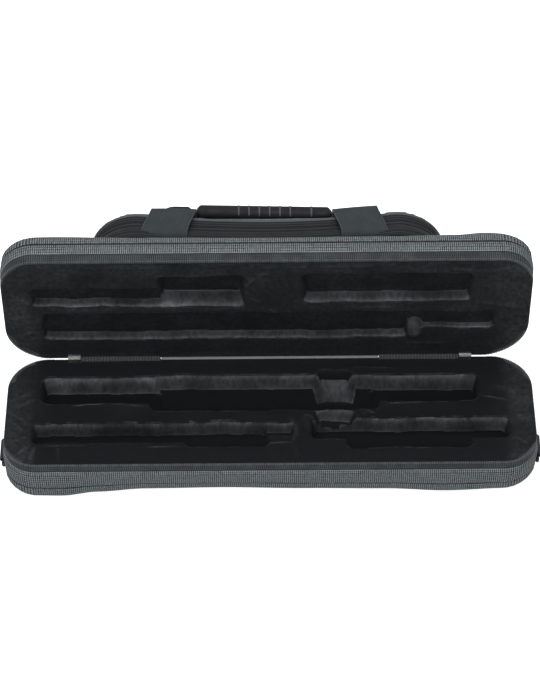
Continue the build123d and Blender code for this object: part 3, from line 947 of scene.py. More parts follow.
def bent_wire(path: Sequence[tuple[Vector, Vector]], radius: float, up: Vector) -> BMesh:
    """Round wire along a closed path.

    Args:
        path: the path's points in order, each with its outward direction.
        radius: the wire's radius.
        up: the direction square to the path's plane.

    Returns:
        The mesh.
    """
    bm = bmesh.new()
    turns = [k * math.pi / 6 for k in range(12)]
    outline = [(radius * math.cos(turn), radius * math.sin(turn)) for turn in turns]
    row = circle_row(bm, len(outline))
    for number, (centre, side) in enumerate(path):
        if number:
            row = extrude_row(bm, row)
        for vert, (a, b) in zip(row, outline):
            vert.co = centre + side * a + up * b
    bmesh.ops.bridge_loops(bm, edges=[edge for edge in bm.edges if edge.is_boundary])
    bmesh.ops.recalc_face_normals(bm, faces=bm.faces)
    return bm


def cloth_skirt(bm: BMesh, ring: Sequence[BMVert], profile: Iterable[Sequence[float]]) -> None:
    """Extrudes a ring through a profile and maps the cloth round it and down it."""
    places: Places = {}
    skirt(bm, ring, profile, places)
    set_cloth_uv(bm, places, RingFrame.of(ring).length)


def blend_table(table: Sequence[Pair], x: float) -> float:
    """Eased value at x of a table of (x, value) rows."""
    for (x0, low), (x1, high) in zip(table, table[1:]):
        if x < x1:
            return low + (high - low) * smoothstep((x - x0) / (x1 - x0))
    return table[-1][1]


# ------------------------------------------------------------------------------ the moulded inside
@dataclass(frozen=True)
class Recess:
    """A soft-edged hollow for one part of the instrument.

    The run is how far its wall leans out, the glow how much painted light its wall gets, and the reach how
    far outside its edge it still counts.
    """

    x_start: float
    x_stop: float
    y_start: float
    y_stop: float
    depth: float
    corner: float = 5.0
    run: float = 2.2
    glow: float = 1.0
    reach: float = 4.0

    def look(self, x: float, y: float) -> Pair:
        """The hollow at a point.

        Returns:
            How far down it is there, from 0 on the land to 1 on the floor, and how much painted light its
            wall gets where it turns away from the hinge.
        """
        half_x = (self.x_stop - self.x_start) / 2
        half_y = (self.y_stop - self.y_start) / 2
        up = y - (self.y_start + self.y_stop) / 2
        dx = abs(x - (self.x_start + self.x_stop) / 2) - half_x + self.corner
        dy = abs(up) - half_y + self.corner
        outside = math.hypot(max(dx, 0.0), max(dy, 0.0)) + min(max(dx, dy), 0.0) - self.corner
        if outside > self.reach:
            return 0.0, 0.0
        wobble = 1.3 * waver(x * 0.035, y * 0.08, self.depth)
        wobble += 0.6 * waver(x * 0.13, y * 0.1, self.depth + 2)
        share = smoothstep((0.5 - outside + wobble) / self.run)
        # Painted light on the pile of the wall that turns away from the hinge.
        turned = smoothstep((dy - dx + 2.5) / 4.0) * (up > 0)
        return share, turned * self.glow


@dataclass(frozen=True)
class Fold:
    """A rounded ridge of bunched cloth between two points."""

    start: Pair
    stop: Pair
    width: float
    height: float

    def height_at(self, x: float, y: float) -> float:
        """Height of the ridge above the land at a point."""
        ax, ay = self.start
        bx, by = self.stop
        length = math.hypot(bx - ax, by - ay)
        share = ((x - ax) * (bx - ax) + (y - ay) * (by - ay)) / length**2
        held = min(max(share, 0.0), 1.0)
        away = math.hypot(x - ax - held * (bx - ax), y - ay - held * (by - ay))
        if away > 3 * self.width:
            return 0.0
        taper = smoothstep(1.3 - abs(2 * held - 1))
        return self.height * taper * math.exp(-((away / self.width) ** 2))


def fold_rows(*rows: tuple[float, float, float, float, float, float]) -> tuple[Fold, ...]:
    """Folds from rows of start x, start y, stop x, stop y, width and height."""
    return tuple(Fold((ax, ay), (bx, by), width, height) for ax, ay, bx, by, width, height in rows)


@dataclass(frozen=True)
class Moulding:
    """The whole inside of one half.

    A pad is (x, y, reach in x, reach in y, height, how much painted light it gets), a light row (y, how much
    painted light or shade the land's pile gets), and a slope (x, half width, y at its foot, y at its top,
    height), which also gets painted light.
    """

    recesses: tuple[Recess, ...]
    folds: tuple[Fold, ...]
    pads: tuple[tuple[float, float, float, float, float, float], ...]
    light_rows: tuple[Pair, ...]
    seed: float
    slopes: tuple[tuple[float, float, float, float, float], ...] = ()
    end_light: float = 0.75
    edge_run: float = 5.5
    edge_level: float = -0.35
    land_drop: float = 0.7
    land_fade: float = 8.0
    end_start: float = 172.0
    end_run: float = 26.0

    def look(self, x: float, y: float, inside: float) -> Three:
        """The surface at a point.

        Args:
            x: along the case.
            y: towards the hinge.
            inside: distance in from the outline.

        Returns:
            Depth in millimetres outward from the rim, how far down a hollow it is, from 0 to 1, and how much
            painted light the wall there gets.
        """
        depth, fall, facing = 0.0, 0.0, 0.0
        for recess in self.recesses:
            share, turned = recess.look(x, y)
            if recess.depth * share > depth:
                depth, fall, facing = recess.depth * share, share, turned
        level = 1 - smoothstep(depth / self.land_fade)
        depth -= sum(fold.height_at(x, y) for fold in self.folds) * (0.25 + 0.75 * level)
        # Pads raise the surface and can take painted light.
        for px, py, rx, ry, height, lit in self.pads:
            away = math.hypot((x - px) / rx, (y - py) / ry)
            if away < 1:
                weight = (1 - away**2) ** 2
                depth -= height * weight
                fall += (0.4 - fall) * min(lit * weight * 1.4, 1.0)
                facing = max(facing, min(lit * weight * 1.2, 1.0))
        # Slopes raise the floor into a saddle that takes painted light.
        for px, rx, low, high, height in self.slopes:
            climb = min(max((y - low) / (high - low), 0.0), 1.0)
            weight = smoothstep((rx + 3.0 * climb - abs(x - px)) / 9.0) * climb
            raised = depth - height * weight
            if weight > 0 and raised > 2.5:
                depth = raised
                fall += (0.3 - fall) * min(weight * 1.6, 1.0)
                facing = max(facing, min(1.5 * weight**1.5, 1.0))
        swell = 0.7 * waver(x * 0.02, y * 0.05, self.seed)
        swell += 0.35 * waver(x * 0.09, y * 0.11, self.seed + 5)
        depth += level * swell
        depth += 0.05 * waver(x * 0.4, y * 0.4, self.seed + 9)
        rim = (1 - smoothstep(inside / self.edge_run)) * level
        depth += self.land_drop
        depth += (self.edge_level - depth) * rim
        return max(depth, self.edge_level), fall, facing

    def tone(self, x: float, y: float) -> float:
        """Painted light and shade on the land's pile, from below 0 up to 1.3: painted light at both ends and
        along folds, painted light or shade by rows in between, varied at random.
        """
        row = blend_table(self.light_rows, y)
        end = smoothstep((abs(x) - self.end_start) / self.end_run)
        patches = 0.75 + 0.5 * waver(x * 0.03, y * 0.07, self.seed + 30)
        ridges = 0.36 * sum(fold.height_at(x, y) for fold in self.folds)
        return min((row * (1 - end) + self.end_light * end) * patches + ridges, 1.3)


BASE_MOULDING = Moulding(
    recesses=(
        Recess(-184.0, -86.0, 9.0, 35.6, 18.5, 7.0, 3.2, 1.45),
        Recess(-97.0, 88.0, 0.8, 36.9, 16.0, 7.0, 3.0, 0.85),
        Recess(80.0, 168.0, 9.5, 36.4, 17.5, 7.0, 3.0),
        Recess(-189.0, -4.0, -31.0, -12.0, 14.0, glow=0.62),
        Recess(-68.0, -2.0, -35.0, -12.0, 13.5, glow=0.75),
        Recess(-24.0, 20.0, -25.0, -12.5, 8.0, 4.0, 5.0),
        Recess(33.0, 190.0, -28.0, -8.2, 16.0),
        Recess(60.0, 160.0, -37.5, -8.2, 15.8, 6.0, 4.0),
        Recess(38.0, 67.0, 30.0, 42.0, 6.5, 4.0, 4.0, 0.05),
        Recess(35.0, 69.0, -20.0, 0.6, 9.0, 6.0, 6.0, 1.1),
    ),
    folds=fold_rows(
        (-206.0, 4.0, -187.0, 13.0, 1.5, 1.1), (-206.0, 12.0, -189.0, 22.0, 1.7, 0.9),
        (-207.0, -1.0, -192.0, -12.0, 1.4, 1.6), (-205.0, -10.0, -196.0, -20.0, 1.5, 1.1),
        (-204.0, -30.0, -192.0, -25.0, 1.5, 1.2), (-199.0, -42.0, -189.0, -33.0, 1.4, 1.3),
        (-189.0, -50.0, -186.0, -35.0, 1.7, 1.7), (-166.0, -51.0, -168.0, -35.0, 1.7, 1.5),
        (-64.0, -9.0, -55.0, -23.0, 1.8, 2.4), (-45.0, -10.0, -37.0, -20.0, 1.6, 2.2),
        (17.0, -8.0, 21.0, -24.0, 2.4, 2.6), (23.0, -12.0, 17.0, -34.0, 2.2, 2.0),
        (27.0, -7.0, 31.0, -22.0, 2.4, 2.2), (19.0, -34.0, 22.0, -49.0, 2.4, 1.2),
        (26.0, -4.0, 36.0, -9.0, 1.6, 1.6), (39.0, 1.8, 65.0, 1.8, 1.2, 1.6),
        (174.0, 26.0, 200.0, 15.0, 2.2, 1.1), (193.0, -28.0, 204.0, -36.0, 1.3, 1.3),
        (194.0, -4.0, 206.0, -13.0, 1.6, 1.0), (60.0, 44.0, 104.0, 42.5, 1.5, 0.9),
        (-184.0, -34.0, -140.0, -34.5, 1.2, 0.6), (-100.0, -36.0, -68.0, -35.5, 1.2, 0.7),
        (-2.0, -33.0, 17.0, -32.0, 1.2, 0.9), (-160.0, 6.2, -128.0, 8.0, 1.1, 0.9),
        (-128.0, 8.0, -96.0, 4.5, 1.1, 0.8), (90.0, 6.6, 128.0, 7.2, 1.1, 0.7),
        (168.0, 14.0, 192.0, 8.0, 1.3, 1.0), (74.0, 1.0, 84.0, -4.0, 1.4, 1.3),
        (72.0, 3.0, 76.0, -6.0, 1.4, 1.2), (-118.0, -10.2, -104.0, -13.5, 1.5, 1.6),
        (-140.0, -13.0, -127.0, -20.0, 1.4, 1.4), (-46.0, -10.8, -30.0, -9.6, 1.6, 1.6),
        (60.0, -40.0, 96.0, -46.0, 2.0, 0.6),
    ),
    pads=(
        (182.0, -42.0, 26.0, 14.0, 0.9, 0.0),
        (190.0, 28.0, 18.0, 22.0, 0.9, 0.0),
        (27.0, -20.0, 8.0, 16.0, 1.2, 0.0),
    ),
    # Painted shade across the base's land, darkest in the middle rows.
    light_rows=((-54.0, -0.25), (-36.0, -0.6), (-10.0, -0.9), (8.0, -0.9), (38.0, -0.45), (54.0, -0.3)),
    seed=3.0,
    slopes=((52.5, 15.0, 14.0, 36.0, 13.0),),
    end_light=0.5,
)
LID_MOULDING = Moulding(
    recesses=(
        Recess(-180.0, 113.0, 3.5, 33.0, 7.5, glow=0.85),
        Recess(108.0, 182.0, 3.5, 21.6, 4.0),
        Recess(-187.0, -80.0, -24.0, -3.8, 8.0, glow=1.15),
        Recess(-87.0, -17.0, -37.0, -2.8, 15.5, 5.0, 5.5, 1.75),
        Recess(28.0, 163.0, -38.5, -7.4, 9.0, 6.0, 4.0, 1.0),
    ),
    folds=fold_rows(
        (-18.0, -24.0, -8.0, -37.0, 1.6, 1.2), (-8.0, -37.0, 4.0, -41.0, 1.6, 1.0),
        (-12.0, -12.0, -4.0, -8.0, 1.5, 1.2), (2.0, 0.0, 8.0, 3.0, 1.4, 0.9),
        (142.0, -45.0, 172.0, -41.0, 1.6, 1.4), (172.0, -41.0, 196.0, -46.0, 1.6, 1.2),
        (60.0, -1.0, 104.0, -2.0, 1.5, 0.9), (165.0, -8.0, 204.0, 0.0, 1.8, 1.2),
        (-180.0, -1.0, -120.0, 0.0, 1.4, 0.8), (-60.0, 0.5, -20.0, -1.5, 1.4, 0.8),
        (-205.0, 10.0, -188.0, 5.0, 1.7, 1.0), (-204.0, -20.0, -189.0, -8.0, 1.8, 1.0),
        (-200.0, 30.0, -186.0, 22.0, 1.6, 1.0), (-150.0, -48.0, -60.0, -47.0, 1.6, 0.8),
        (-20.0, -47.0, 110.0, -48.0, 1.6, 0.8), (110.0, 40.0, 150.0, 39.5, 1.2, 0.7),
    ),
    pads=((118.0, 23.5, 8.5, 11.0, 9.0, 0.65), (0.0, -24.0, 22.0, 12.0, 0.8, 0.0)),
    # Painted light across the lid's land, palest at the front edge and least near the hinge.
    light_rows=(
        (-54.0, 0.5), (-40.0, 0.45), (-20.0, 0.28), (0.0, 0.32), (20.0, 0.28), (34.0, 0.14),
        (54.0, 0.18),
    ),
    seed=21.0,
)

# How far a half's outer edge is drawn in at each x.
BASE_LIFTS = (
    (-210.0, 2.0), (-187.0, 1.2), (-166.0, 0.8), (-138.0, 4.6), (-100.0, 7.6), (-40.0, 8.2),
    (30.0, 6.6), (90.0, 5.8), (140.0, 3.2), (187.0, 5.2), (210.0, 6.0),
)
LID_LIFTS = (
    (-210.0, 5.0), (-170.0, 4.2), (-100.0, 6.0), (0.0, 7.4), (100.0, 6.4), (150.0, 5.2),
    (172.0, 3.0), (198.0, 5.2), (210.0, 5.5),
)


# ------------------------------------------------------------------------------ one half of the case
@dataclass
class CaseHalf:
    """One padded half: covers, zip tape, zip coil, plush and foam core.

    Insets are measured in from the plan, levels outward from the rim. Round the hinge line,
    along the straight part of the back, everything stays clear of the hinge.
    """

    name: str
    body: str
    seat: Seat
    height: float
    seam: float
    edge_radius: float
    moulding: Moulding
    outer_cover: str
    plan: Plan
    lifts: tuple[Pair, ...]
    lift_start: float
    pile_front_gap: float
    tape_width: float = 8.5
    outset: float = 0.5
    bulge: float = 0.3
    wall_shade: float = 0.0
    cloth_step: float = 5.0
    tape_inset: float = 4.0
    tape_start: float = 1.9
    wall_inset: float = 1.4
    tooth_inset: float = 0.5
    tooth_pitch: float = 1.35
    tooth_level: float = 0.6
    tooth_size: Three = (0.72, 1.7, 1.5)
    hinge_room: float = 4.0
    hinge_clear: float = 4.2
    back_straight: float = 176.0
    pile_hinge_gap: float = 0.4
    pile_end_gap: float = 0.2

    def shape(self, point: Vector) -> Vector:
        """The soft form of the outer edges, which are drawn in more at mid-length than at the ends."""
        reach = smoothstep((point.z - self.lift_start) / (self.height - self.lift_start))
        front = smoothstep((-point.y - 2.0) / 48.0)
        back = 0.4 * smoothstep((point.y - 18.0) / 34.0)
        lift = blend_table(self.lifts, point.x) * reach
        drawn_in = 0.25 * lift * front - 0.2 * lift * back
        return Vector((point.x, point.y + drawn_in, point.z - lift * max(front, back)))

    def apply_shape(self, verts: Iterable[BMVert]) -> None:
        """Bends vertices of this half with the outer form."""
        for vert in verts:
            vert.co = self.shape(vert.co)

    def at_hinge(self, x: float, y: float) -> bool:
        """Whether a place stands in the room round the hinge line."""
        return y > self.plan.half_depth - self.hinge_room and abs(x) < self.back_straight

    def finish_piece(
        self, bm: BMesh, suffix: str, finish: Finish, wardrobe: Wardrobe, node: str
    ) -> Piece:
        """Makes a piece of this half that stands for a CAD node."""
        return wardrobe.make(bm, f"{self.name}_{suffix}", self.seat.matrix(), finish, [node], self.body)

    def build_tape(self, wardrobe: Wardrobe) -> None:
        """The zip tape, from inside the rim over its edge and down to the seam."""
        bm, ring = self.plan.inset(self.tape_inset).hoop(self.cloth_step)
        for vert in ring:
            vert.co.z = self.tape_start
        width = self.tape_width
        profile = [(1.2, 1.8), (0.9, 2.6), (1.1, 3.3), (1.8, 3.6), (3.2, 3.75), (5.2, 3.8)]
        # Painted seam shadow where the tape goes under the wall's edge.
        profile += [(width - 2.0, 3.7, 0.0), (width - 1.4, 3.7, 0.9), (width - 0.5, 3.4, 1.0)]
        cloth_skirt(bm, ring, [*profile, (width + 0.8, 2.6, 1.0)])
        middles = [(face, face.calc_center_median()) for face in bm.faces]
        doomed = [face for face, at in middles if self.at_hinge(at.x, at.y) and at.z < self.hinge_clear]
        bmesh.ops.delete(bm, geom=doomed, context="FACES")
        piece = self.finish_piece(bm, "tape", Finish.TAPE, wardrobe, f"{self.name}_zip_tape")
        hem(piece, 0.8)

    def build_wall(self, wardrobe: Wardrobe) -> None:
        """The woven wall between the zip tape and the seam."""
        inset = self.wall_inset
        bm, ring = self.plan.inset(inset).hoop(self.cloth_step)
        # The seam layer paints shadow into the wall at both seams, and wall_shade paints shade down the
        # lid's wall.
        layer = bm.verts.layers.float["seam"]
        for vert in ring:
            vert.co.z = self.tape_width
            vert[layer] = 1.0
        top, low = self.tape_width, self.seam
        span = low - top
        profile = [(top + 0.05, 0.9, 0.6), (top + 0.5, inset + 0.6 * self.outset, 0.0)]
        steps = 6
        for step in range(1, steps):
            share = step / steps
            swell = self.outset + self.bulge * math.sin(math.pi * share) ** 0.8
            shade = self.wall_shade * smoothstep((share - 0.2) / 0.7)
            profile.append((top + 0.9 + (span - 1.8) * share, inset + swell, shade))
        profile.append((low - 1.9, inset + 0.9 * self.outset, self.wall_shade))
        profile.append((low - 1.3, inset + 0.8 * self.outset, 0.9))
        cloth_skirt(bm, ring, [*profile, (low - 0.2, 1.5, 1.0), (low + 0.2, 0.6, 1.0)])
        self.apply_shape(bm.verts)
        piece = self.finish_piece(bm, "wall", Finish.TWEED, wardrobe, f"{self.name}_wall_cover")
        hem(piece, 1.0)

    def build_outer(self, wardrobe: Wardrobe) -> None:
        """The woven bottom or top, rounded up to the seam."""
        radius = self.edge_radius
        bm, ring = self.plan.inset(radius).sheet(self.cloth_step)
        panel_places = {vert: (vert.co.x, vert.co.y + CLOTH_START) for vert in bm.verts}
        for vert in bm.verts:
            vert.co.z = self.height - 0.1
        places: Places = {}
        arc = []
        for a in (12, 24, 36, 48, 60, 72, 84, 90):
            turn = math.radians(a)
            level = self.height - radius * (1 - math.cos(turn))
            arc.append((level, radius * math.sin(turn) + self.outset * a / 90))
        down = [self.seam + (arc[-1][0] - self.seam) * share for share in (0.75, 0.5, 0.25)]
        arc += [(depth, radius + self.outset) for depth in down if depth > self.seam + 1.6]
        arc.append((self.seam + 1.2, radius + 0.8 * self.outset, 0.0))
        # Painted seam shadow where the cover meets the wall.
        arc += [(self.seam + 0.5, radius + 0.2, 0.8), (self.seam + 0.1, radius - 0.8, 1.0)]
        skirt(bm, ring, arc, places, 10.0)
        outline = set(ring)
        places.update({vert: place for vert, place in panel_places.items() if vert not in outline})
        set_cloth_uv(bm, places, RingFrame.of(ring).length)
        layer = bm.loops.layers.uv["cloth"]
        for face in bm.faces:
            if all(vert in panel_places for vert in face.verts):
                for loop in face.loops:
                    loop[layer].uv = tuple(value * MM for value in panel_places[loop.vert])
        self.apply_shape(bm.verts)
        piece = self.finish_piece(bm, "outer", Finish.TWEED, wardrobe, self.outer_cover)
        hem(piece, 1.0, 1.0)

    def build_coil(self, wardrobe: Wardrobe) -> None:
        """Zip teeth along the free edge of the tape."""
        bm, ring = self.plan.inset(self.tooth_inset).hoop(1.0)
        track = RingFrame.of(ring)
        bm.free()
        bm = bmesh.new()
        count = int(track.length / self.tooth_pitch)
        position = 0
        for index in range(count):
            target = index * track.length / count
            while position + 1 < len(track.along) and track.along[position + 1] <= target:
                position += 1
            point = track.points[position]
            if self.at_hinge(point.x, point.y):
                continue
            along, turn = facing_turn(track.normals[position])
            centre = point + along * (target - track.along[position])
            place = Matrix.Translation(centre + Vector((0, 0, self.tooth_level)))
            add_block(bm, place @ turn, self.tooth_size)
        round_edges(bm, 0.16, 1)
        self.finish_piece(bm, "teeth", Finish.COIL, wardrobe, f"{self.name}_zip_coil")

    def pile_plan(self) -> Plan:
        """Outline of the plush on the rim plane."""
        front, hinge = self.pile_front_gap, self.pile_hinge_gap
        return Plan(
            self.plan.half_length - self.pile_end_gap,
            self.plan.half_depth - (front + hinge) / 2,
            tuple(corner - self.pile_end_gap for corner in self.plan.corners),
            (front - hinge) / 2,
        )

    def inner_sheet(
        self, drop: float, along: float, across: float, spread: float = 0.0
    ) -> tuple[BMesh, Row]:
        """The moulded surface, with the pile's layers on each vertex, which carry its painted light, painted
        shade and painted crest highlights.

        Args:
            drop: how far below the surface it lies.
            along: cell size in X.
            across: cell size in Y.
            spread: how far round each point the deepest place is taken from.

        Returns:
            The mesh, and its boundary in order.
        """
        plan = self.pile_plan()
        bm, ring = plan.sheet(along, across, PILE_LAYERS)
        falls, crest_highlights, land_lighting, facings = (bm.verts.layers.float[name] for name in PILE_LAYERS)
        steps = (-spread, 0.0, spread) if spread else (0.0,)
        around = [(a, b) for a in steps for b in steps]
        for vert in bm.verts:
            x, y = vert.co.x, vert.co.y
            looks = [self.moulding.look(x + a, y + b, plan.inside(x, y)) for a, b in around]
            depth, vert[falls], vert[facings] = max(looks)
            # Painted light and shade of the land.
            vert[land_lighting] = self.moulding.tone(x, y)
            vert.co.z = depth + drop
        # Painted highlight along convex crests, stronger on walls that take painted light.
        for vert in bm.verts:
            links = vert.link_edges
            rises = [(edge.other_vert(vert).co.z - vert.co.z, edge.calc_length()) for edge in links]
            bend = sum(rise / max(length, 0.4) ** 2 for rise, length in rises)
            sharp = min(max(bend * 0.9 - 0.25, 0.0), 1.0) * (len(links) == 4)
            shown = 0.12 + 0.56 * min(vert[facings], 1.0) if vert[falls] > 0.01 else 0.5
            vert[crest_highlights] = sharp * shown
        return bm, ring

    def build_plush(self, wardrobe: Wardrobe) -> None:
        """The plush, from the zip tape over the rim and down into every recess."""
        bm, ring = self.inner_sheet(0.0, 1.6, 0.8)
        track = RingFrame.of(ring)
        row = ring
        for outset, deeper in ((0.35, 0.9), (0.1, 2.5), (-0.9, 5.0)):
            row = extrude_row(bm, row)
            for index, vert in enumerate(row):
                vert.co = track.offset(index, outset, track.points[index].z + deeper)
        bmesh.ops.reverse_faces(bm, faces=bm.faces)
        self.finish_piece(bm, "plush", Finish.PLUSH, wardrobe, f"{self.name}_lining")

    def build_core(self, wardrobe: Wardrobe) -> None:
        """The foam core between the cover and the plush."""
        bm, ring = self.inner_sheet(1.8, 3.0, 2.0, 2.6)
        inner = set(bm.verts)
        bmesh.ops.reverse_faces(bm, faces=bm.faces)
        height = self.height
        sides = [(5.0, 0.0), (self.seam, 0.4)]
        sides += [(height - 12.0, -0.4), (height - 6.0, -3.0), (height - 2.6, -9.0)]
        close_bottom(bm, skirt(bm, ring, sides, {}))
        self.apply_shape(vert for vert in bm.verts if vert not in inner)
        piece = self.finish_piece(bm, "core", Finish.FOAM, wardrobe, f"{self.name}_foam_shell")

    def build(self, wardrobe: Wardrobe) -> None:
        """Builds and dresses every piece of this half."""
        self.build_tape(wardrobe)
        self.build_wall(wardrobe)
        self.build_outer(wardrobe)
        self.build_coil(wardrobe)
        self.build_plush(wardrobe)
        self.build_core(wardrobe)


# ------------------------------------------------------------------------------ hinge and back zip
@dataclass
class FabricHinge:
    """The tape along the back that joins the halves, and the closed zip beside it."""

    half_tape: float = 88.0
    zip_start: float = 88.6
    zip_stop: float = 157.5
    leaf: float = 5.4
    tooth_pitch: float = 1.22
    tooth_size: Three = (0.62, 1.4, 4.6)
    tooth_lean: float = 40.0

    def section(self) -> list[Pair]:
        """(y, z) points of the tape about the hinge line, from the base's wall to the lid's."""
        points = [(-0.5, -self.leaf), (-0.6, -3.2), (-0.7, -1.6), (-0.9, -0.9), (-0.5, 0.3)]
        for away in (0.6, 1.5, 3.2, self.leaf):
            point = LID_OUT * away + LID_ALONG * 0.35
            points.append((point.y, point.z))
        return points

    def strip(self, start: float, stop: float, name: str, finish: Finish, wardrobe: Wardrobe) -> Piece:
        """A length of tape through the section, from start to stop along X."""
        points = self.section()

        def place(number: int, share: float) -> tuple[Vector, float]:
            """A vertex, and how far along X it is."""
            x = start + (stop - start) * share
            return Vector((x, *points[number])), x

        cells = max(2, round(abs(stop - start) / 3))
        # The closed zip tapes get the painted seam shadow all over; the hinge tape none.
        bm = ribbon(cells, points, place, lengthwise=False, seam=float(finish is Finish.TAPE))
        matrix = Matrix.Translation(HINGE_LINE * MM) @ Matrix.Scale(MM, 4)
        piece = wardrobe.make(bm, name, matrix, finish)
        hem(piece, 0.8, 0.0)
        return piece

    def bend(self, piece: Piece) -> None:
        """Lets a piece turn with the lid about the hinge line."""
        start = HINGE_LINE * MM + Vector((0, -0.6, -1.4)) * MM
        end = HINGE_LINE * MM + Vector((0, 1.4, 0.6)) * MM
        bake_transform(piece, "base", "lid", start=start, end=end)

    def teeth(self, side: int, name: str, wardrobe: Wardrobe) -> Piece:
        """Closed teeth across the hinge line, as upright bars that face the inside."""
        bm = bmesh.new()
        lean = Matrix.Rotation(-math.radians(self.tooth_lean), 4, "X")
        for index in range(int((self.zip_stop - self.zip_start) / self.tooth_pitch)):
            x = side * (self.zip_start + (index + 0.5) * self.tooth_pitch)
            place = Matrix.Translation(HINGE_LINE + Vector((x, -0.7, 0.1)))
            add_block(bm, place @ lean, self.tooth_size)
        round_edges(bm, 0.2, 2)
        return wardrobe.make(bm, name, Matrix.Scale(MM, 4), Finish.COIL)

    def build(self, wardrobe: Wardrobe) -> None:
        """Builds the tape, the closed zips and their teeth."""
        tape = self.strip(-self.half_tape, self.half_tape, "hinge_tape", Finish.HINGE_TAPE, wardrobe)
        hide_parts("hinge_strip_base", "hinge_strip_lid")
        self.bend(tape)
        for side_name, side in SIDES.items():
            start, stop = side * self.zip_start, side * self.zip_stop
            self.bend(self.strip(start, stop, f"closed_zip_tape_{side_name}", Finish.TAPE, wardrobe))
            teeth = self.teeth(side, f"closed_zip_teeth_{side_name}", wardrobe)
            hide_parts(f"back_zip_{side_name}")
            self.bend(teeth)


# ------------------------------------------------------------------------------ accessory pocket
@dataclass
class Pocket:
    """The zipped pocket on the lid: gusset, tape, teeth, piping and padded panel."""

    seat: Seat
    plan: Plan = Plan(141.6, 44.2, (38.0, 40.0, 40.0, 40.0), -3.0, 7.4)
    voxel: float = 2.2
    puff_cap: float = 1.1
    foot: float = 32.5
    flare: float = 1.8
    tape_level: float = 46.5
    piping_level: float = 58.5
    panel_level: float = 61.7
    face_level: float = 64.7
    step: float = 4.0
    cloth: float = 1.2
    tape_inset: float = 0.2
    zip_end: float = 60.0
    zip_back: float = 30.0
    tooth_level: float = 52.5
    tooth_size: Three = (0.6, 1.0, 1.6)
    piping_size: Pair = (1.6, 1.3)
    pressure: float = 4.0
    puff_frames: int = 20
    channel_inset: float = 5.0
    channel_run: float = 1.6

    def ring_piece(
        self, profile: Sequence[Sequence[float]], inset: float, name: str, node: str, wardrobe: Wardrobe
    ) -> None:
        """Makes a band of cloth that follows the pocket's outline.

        Args:
            profile: depth, outset and seam shade of each row; the first is where it starts.
            inset: how far inside the outline it is measured from.
            name: the piece's name.
            node: the CAD node that it stands for.
            wardrobe: the finishes.
        """
        bm, ring = self.plan.inset(inset).hoop(self.step)
        layer = bm.verts.layers.float["seam"]
        track = RingFrame.of(ring)
        depth, outset, *shade = profile[0]
        for index, vert in enumerate(ring):
            vert.co = track.offset(index, outset, depth)
            vert[layer] = shade[0] if shade else 0.0
        cloth_skirt(bm, ring, [(row[0], row[1] - outset, *row[2:]) for row in profile[1:]])
        piece = wardrobe.make(bm, name, self.seat.matrix(), Finish.GUSSET, [node], "lid")
        hem(piece, self.cloth)

    def build(self, wardrobe: Wardrobe) -> None:
        """Builds and dresses the pocket."""
        foot, tape, top, flare = self.foot, self.tape_level, self.piping_level, self.flare
        # The third numbers paint seam shadow along the gusset's fold and its seams.
        pleat = [(foot, flare + 0.6), (foot + 4.4, flare + 0.5), (foot + 5.0, flare, 1.0)]
        pleat += [(foot + 5.7, flare + 0.3), (foot + 9.0, flare * 0.7 + 0.4), (tape - 0.8, 0.3, 0.3)]
        pleat += [(tape - 0.1, -0.2, 1.0), (tape + 0.4, -0.4, 1.0)]
        self.ring_piece(pleat, 0.0, "pocket_gusset_cloth", "pocket_gusset", wardrobe)
        # The third numbers paint seam shadow along the tape's seams and the zip line.
        rows = [(tape, -0.5, 1.0), (tape + 0.6, 0.0), (tape + 4.6, 0.25), (tape + 5.4, -0.3, 1.0)]
        rows += [(tape + 6.6, -0.3, 1.0), (tape + 7.4, 0.25), (top - 0.7, 0.1), (top + 0.2, -0.4, 1.0)]
        self.ring_piece(rows, self.tape_inset, "pocket_tape", "pocket_zip_tape", wardrobe)
        self.build_teeth(wardrobe)
        self.build_piping(wardrobe)
        self.build_panel(wardrobe)

    def build_teeth(self, wardrobe: Wardrobe) -> None:
        """The closed zip round the pocket, open along the middle of the hinge side."""
        bm, ring = self.plan.inset(self.tape_inset).hoop(1.0)
        track = RingFrame.of(ring)
        bm.free()
        bm = bmesh.new()
        for index, (point, normal) in enumerate(zip(track.points, track.normals)):
            if point.y > self.zip_back and abs(point.x) < self.zip_end:
                continue
            turn = facing_turn(normal)[1]
            lift = 0.3 if index % 2 else -0.3
            place = Matrix.Translation(point + normal * 0.1 + Vector((0, 0, self.tooth_level + lift)))
            add_block(bm, place @ turn, self.tooth_size)
        round_edges(bm, 0.2, 1)
        wardrobe.make(bm, "pocket_teeth", self.seat.matrix(), Finish.COIL, ["pocket_zip_coil"], "lid")

    def build_piping(self, wardrobe: Wardrobe) -> None:
        """The round piping at the panel's edge."""
        bm, ring = self.plan.hoop(self.step)
        middle = (self.piping_level + self.panel_level) / 2
        deep, proud = self.piping_size
        for vert in ring:
            vert.co.z = middle - deep
        turns = [math.pi * k / 8 for k in range(1, 9)]
        stations = [(middle - deep * math.cos(a), proud * math.sin(a)) for a in turns]
        cloth_skirt(bm, ring, stations + [(middle + deep, -1.4), (middle - deep, -1.4)])
        bmesh.ops.remove_doubles(bm, verts=bm.verts, dist=0.01)
        bmesh.ops.recalc_face_normals(bm, faces=bm.faces)
        matrix = self.seat.matrix()
        wardrobe.make(bm, "pocket_piping_cord", matrix, Finish.PIPING, ["pocket_piping"], "lid")

    def build_panel(self, wardrobe: Wardrobe) -> None:
        """The padded outer panel of the pocket, sewn down at its edge."""
        plan = self.plan.inset(0.6)
        bm, ring = plan.sheet(self.step)
        places = {vert: (vert.co.x, vert.co.y + CLOTH_START) for vert in bm.verts}
        face = self.face_level
        for vert in bm.verts:
            crown = smoothstep(plan.inside(vert.co.x, vert.co.y) / CROWN_RUN)
            vert.co.z = face - 0.3 + 0.9 * crown
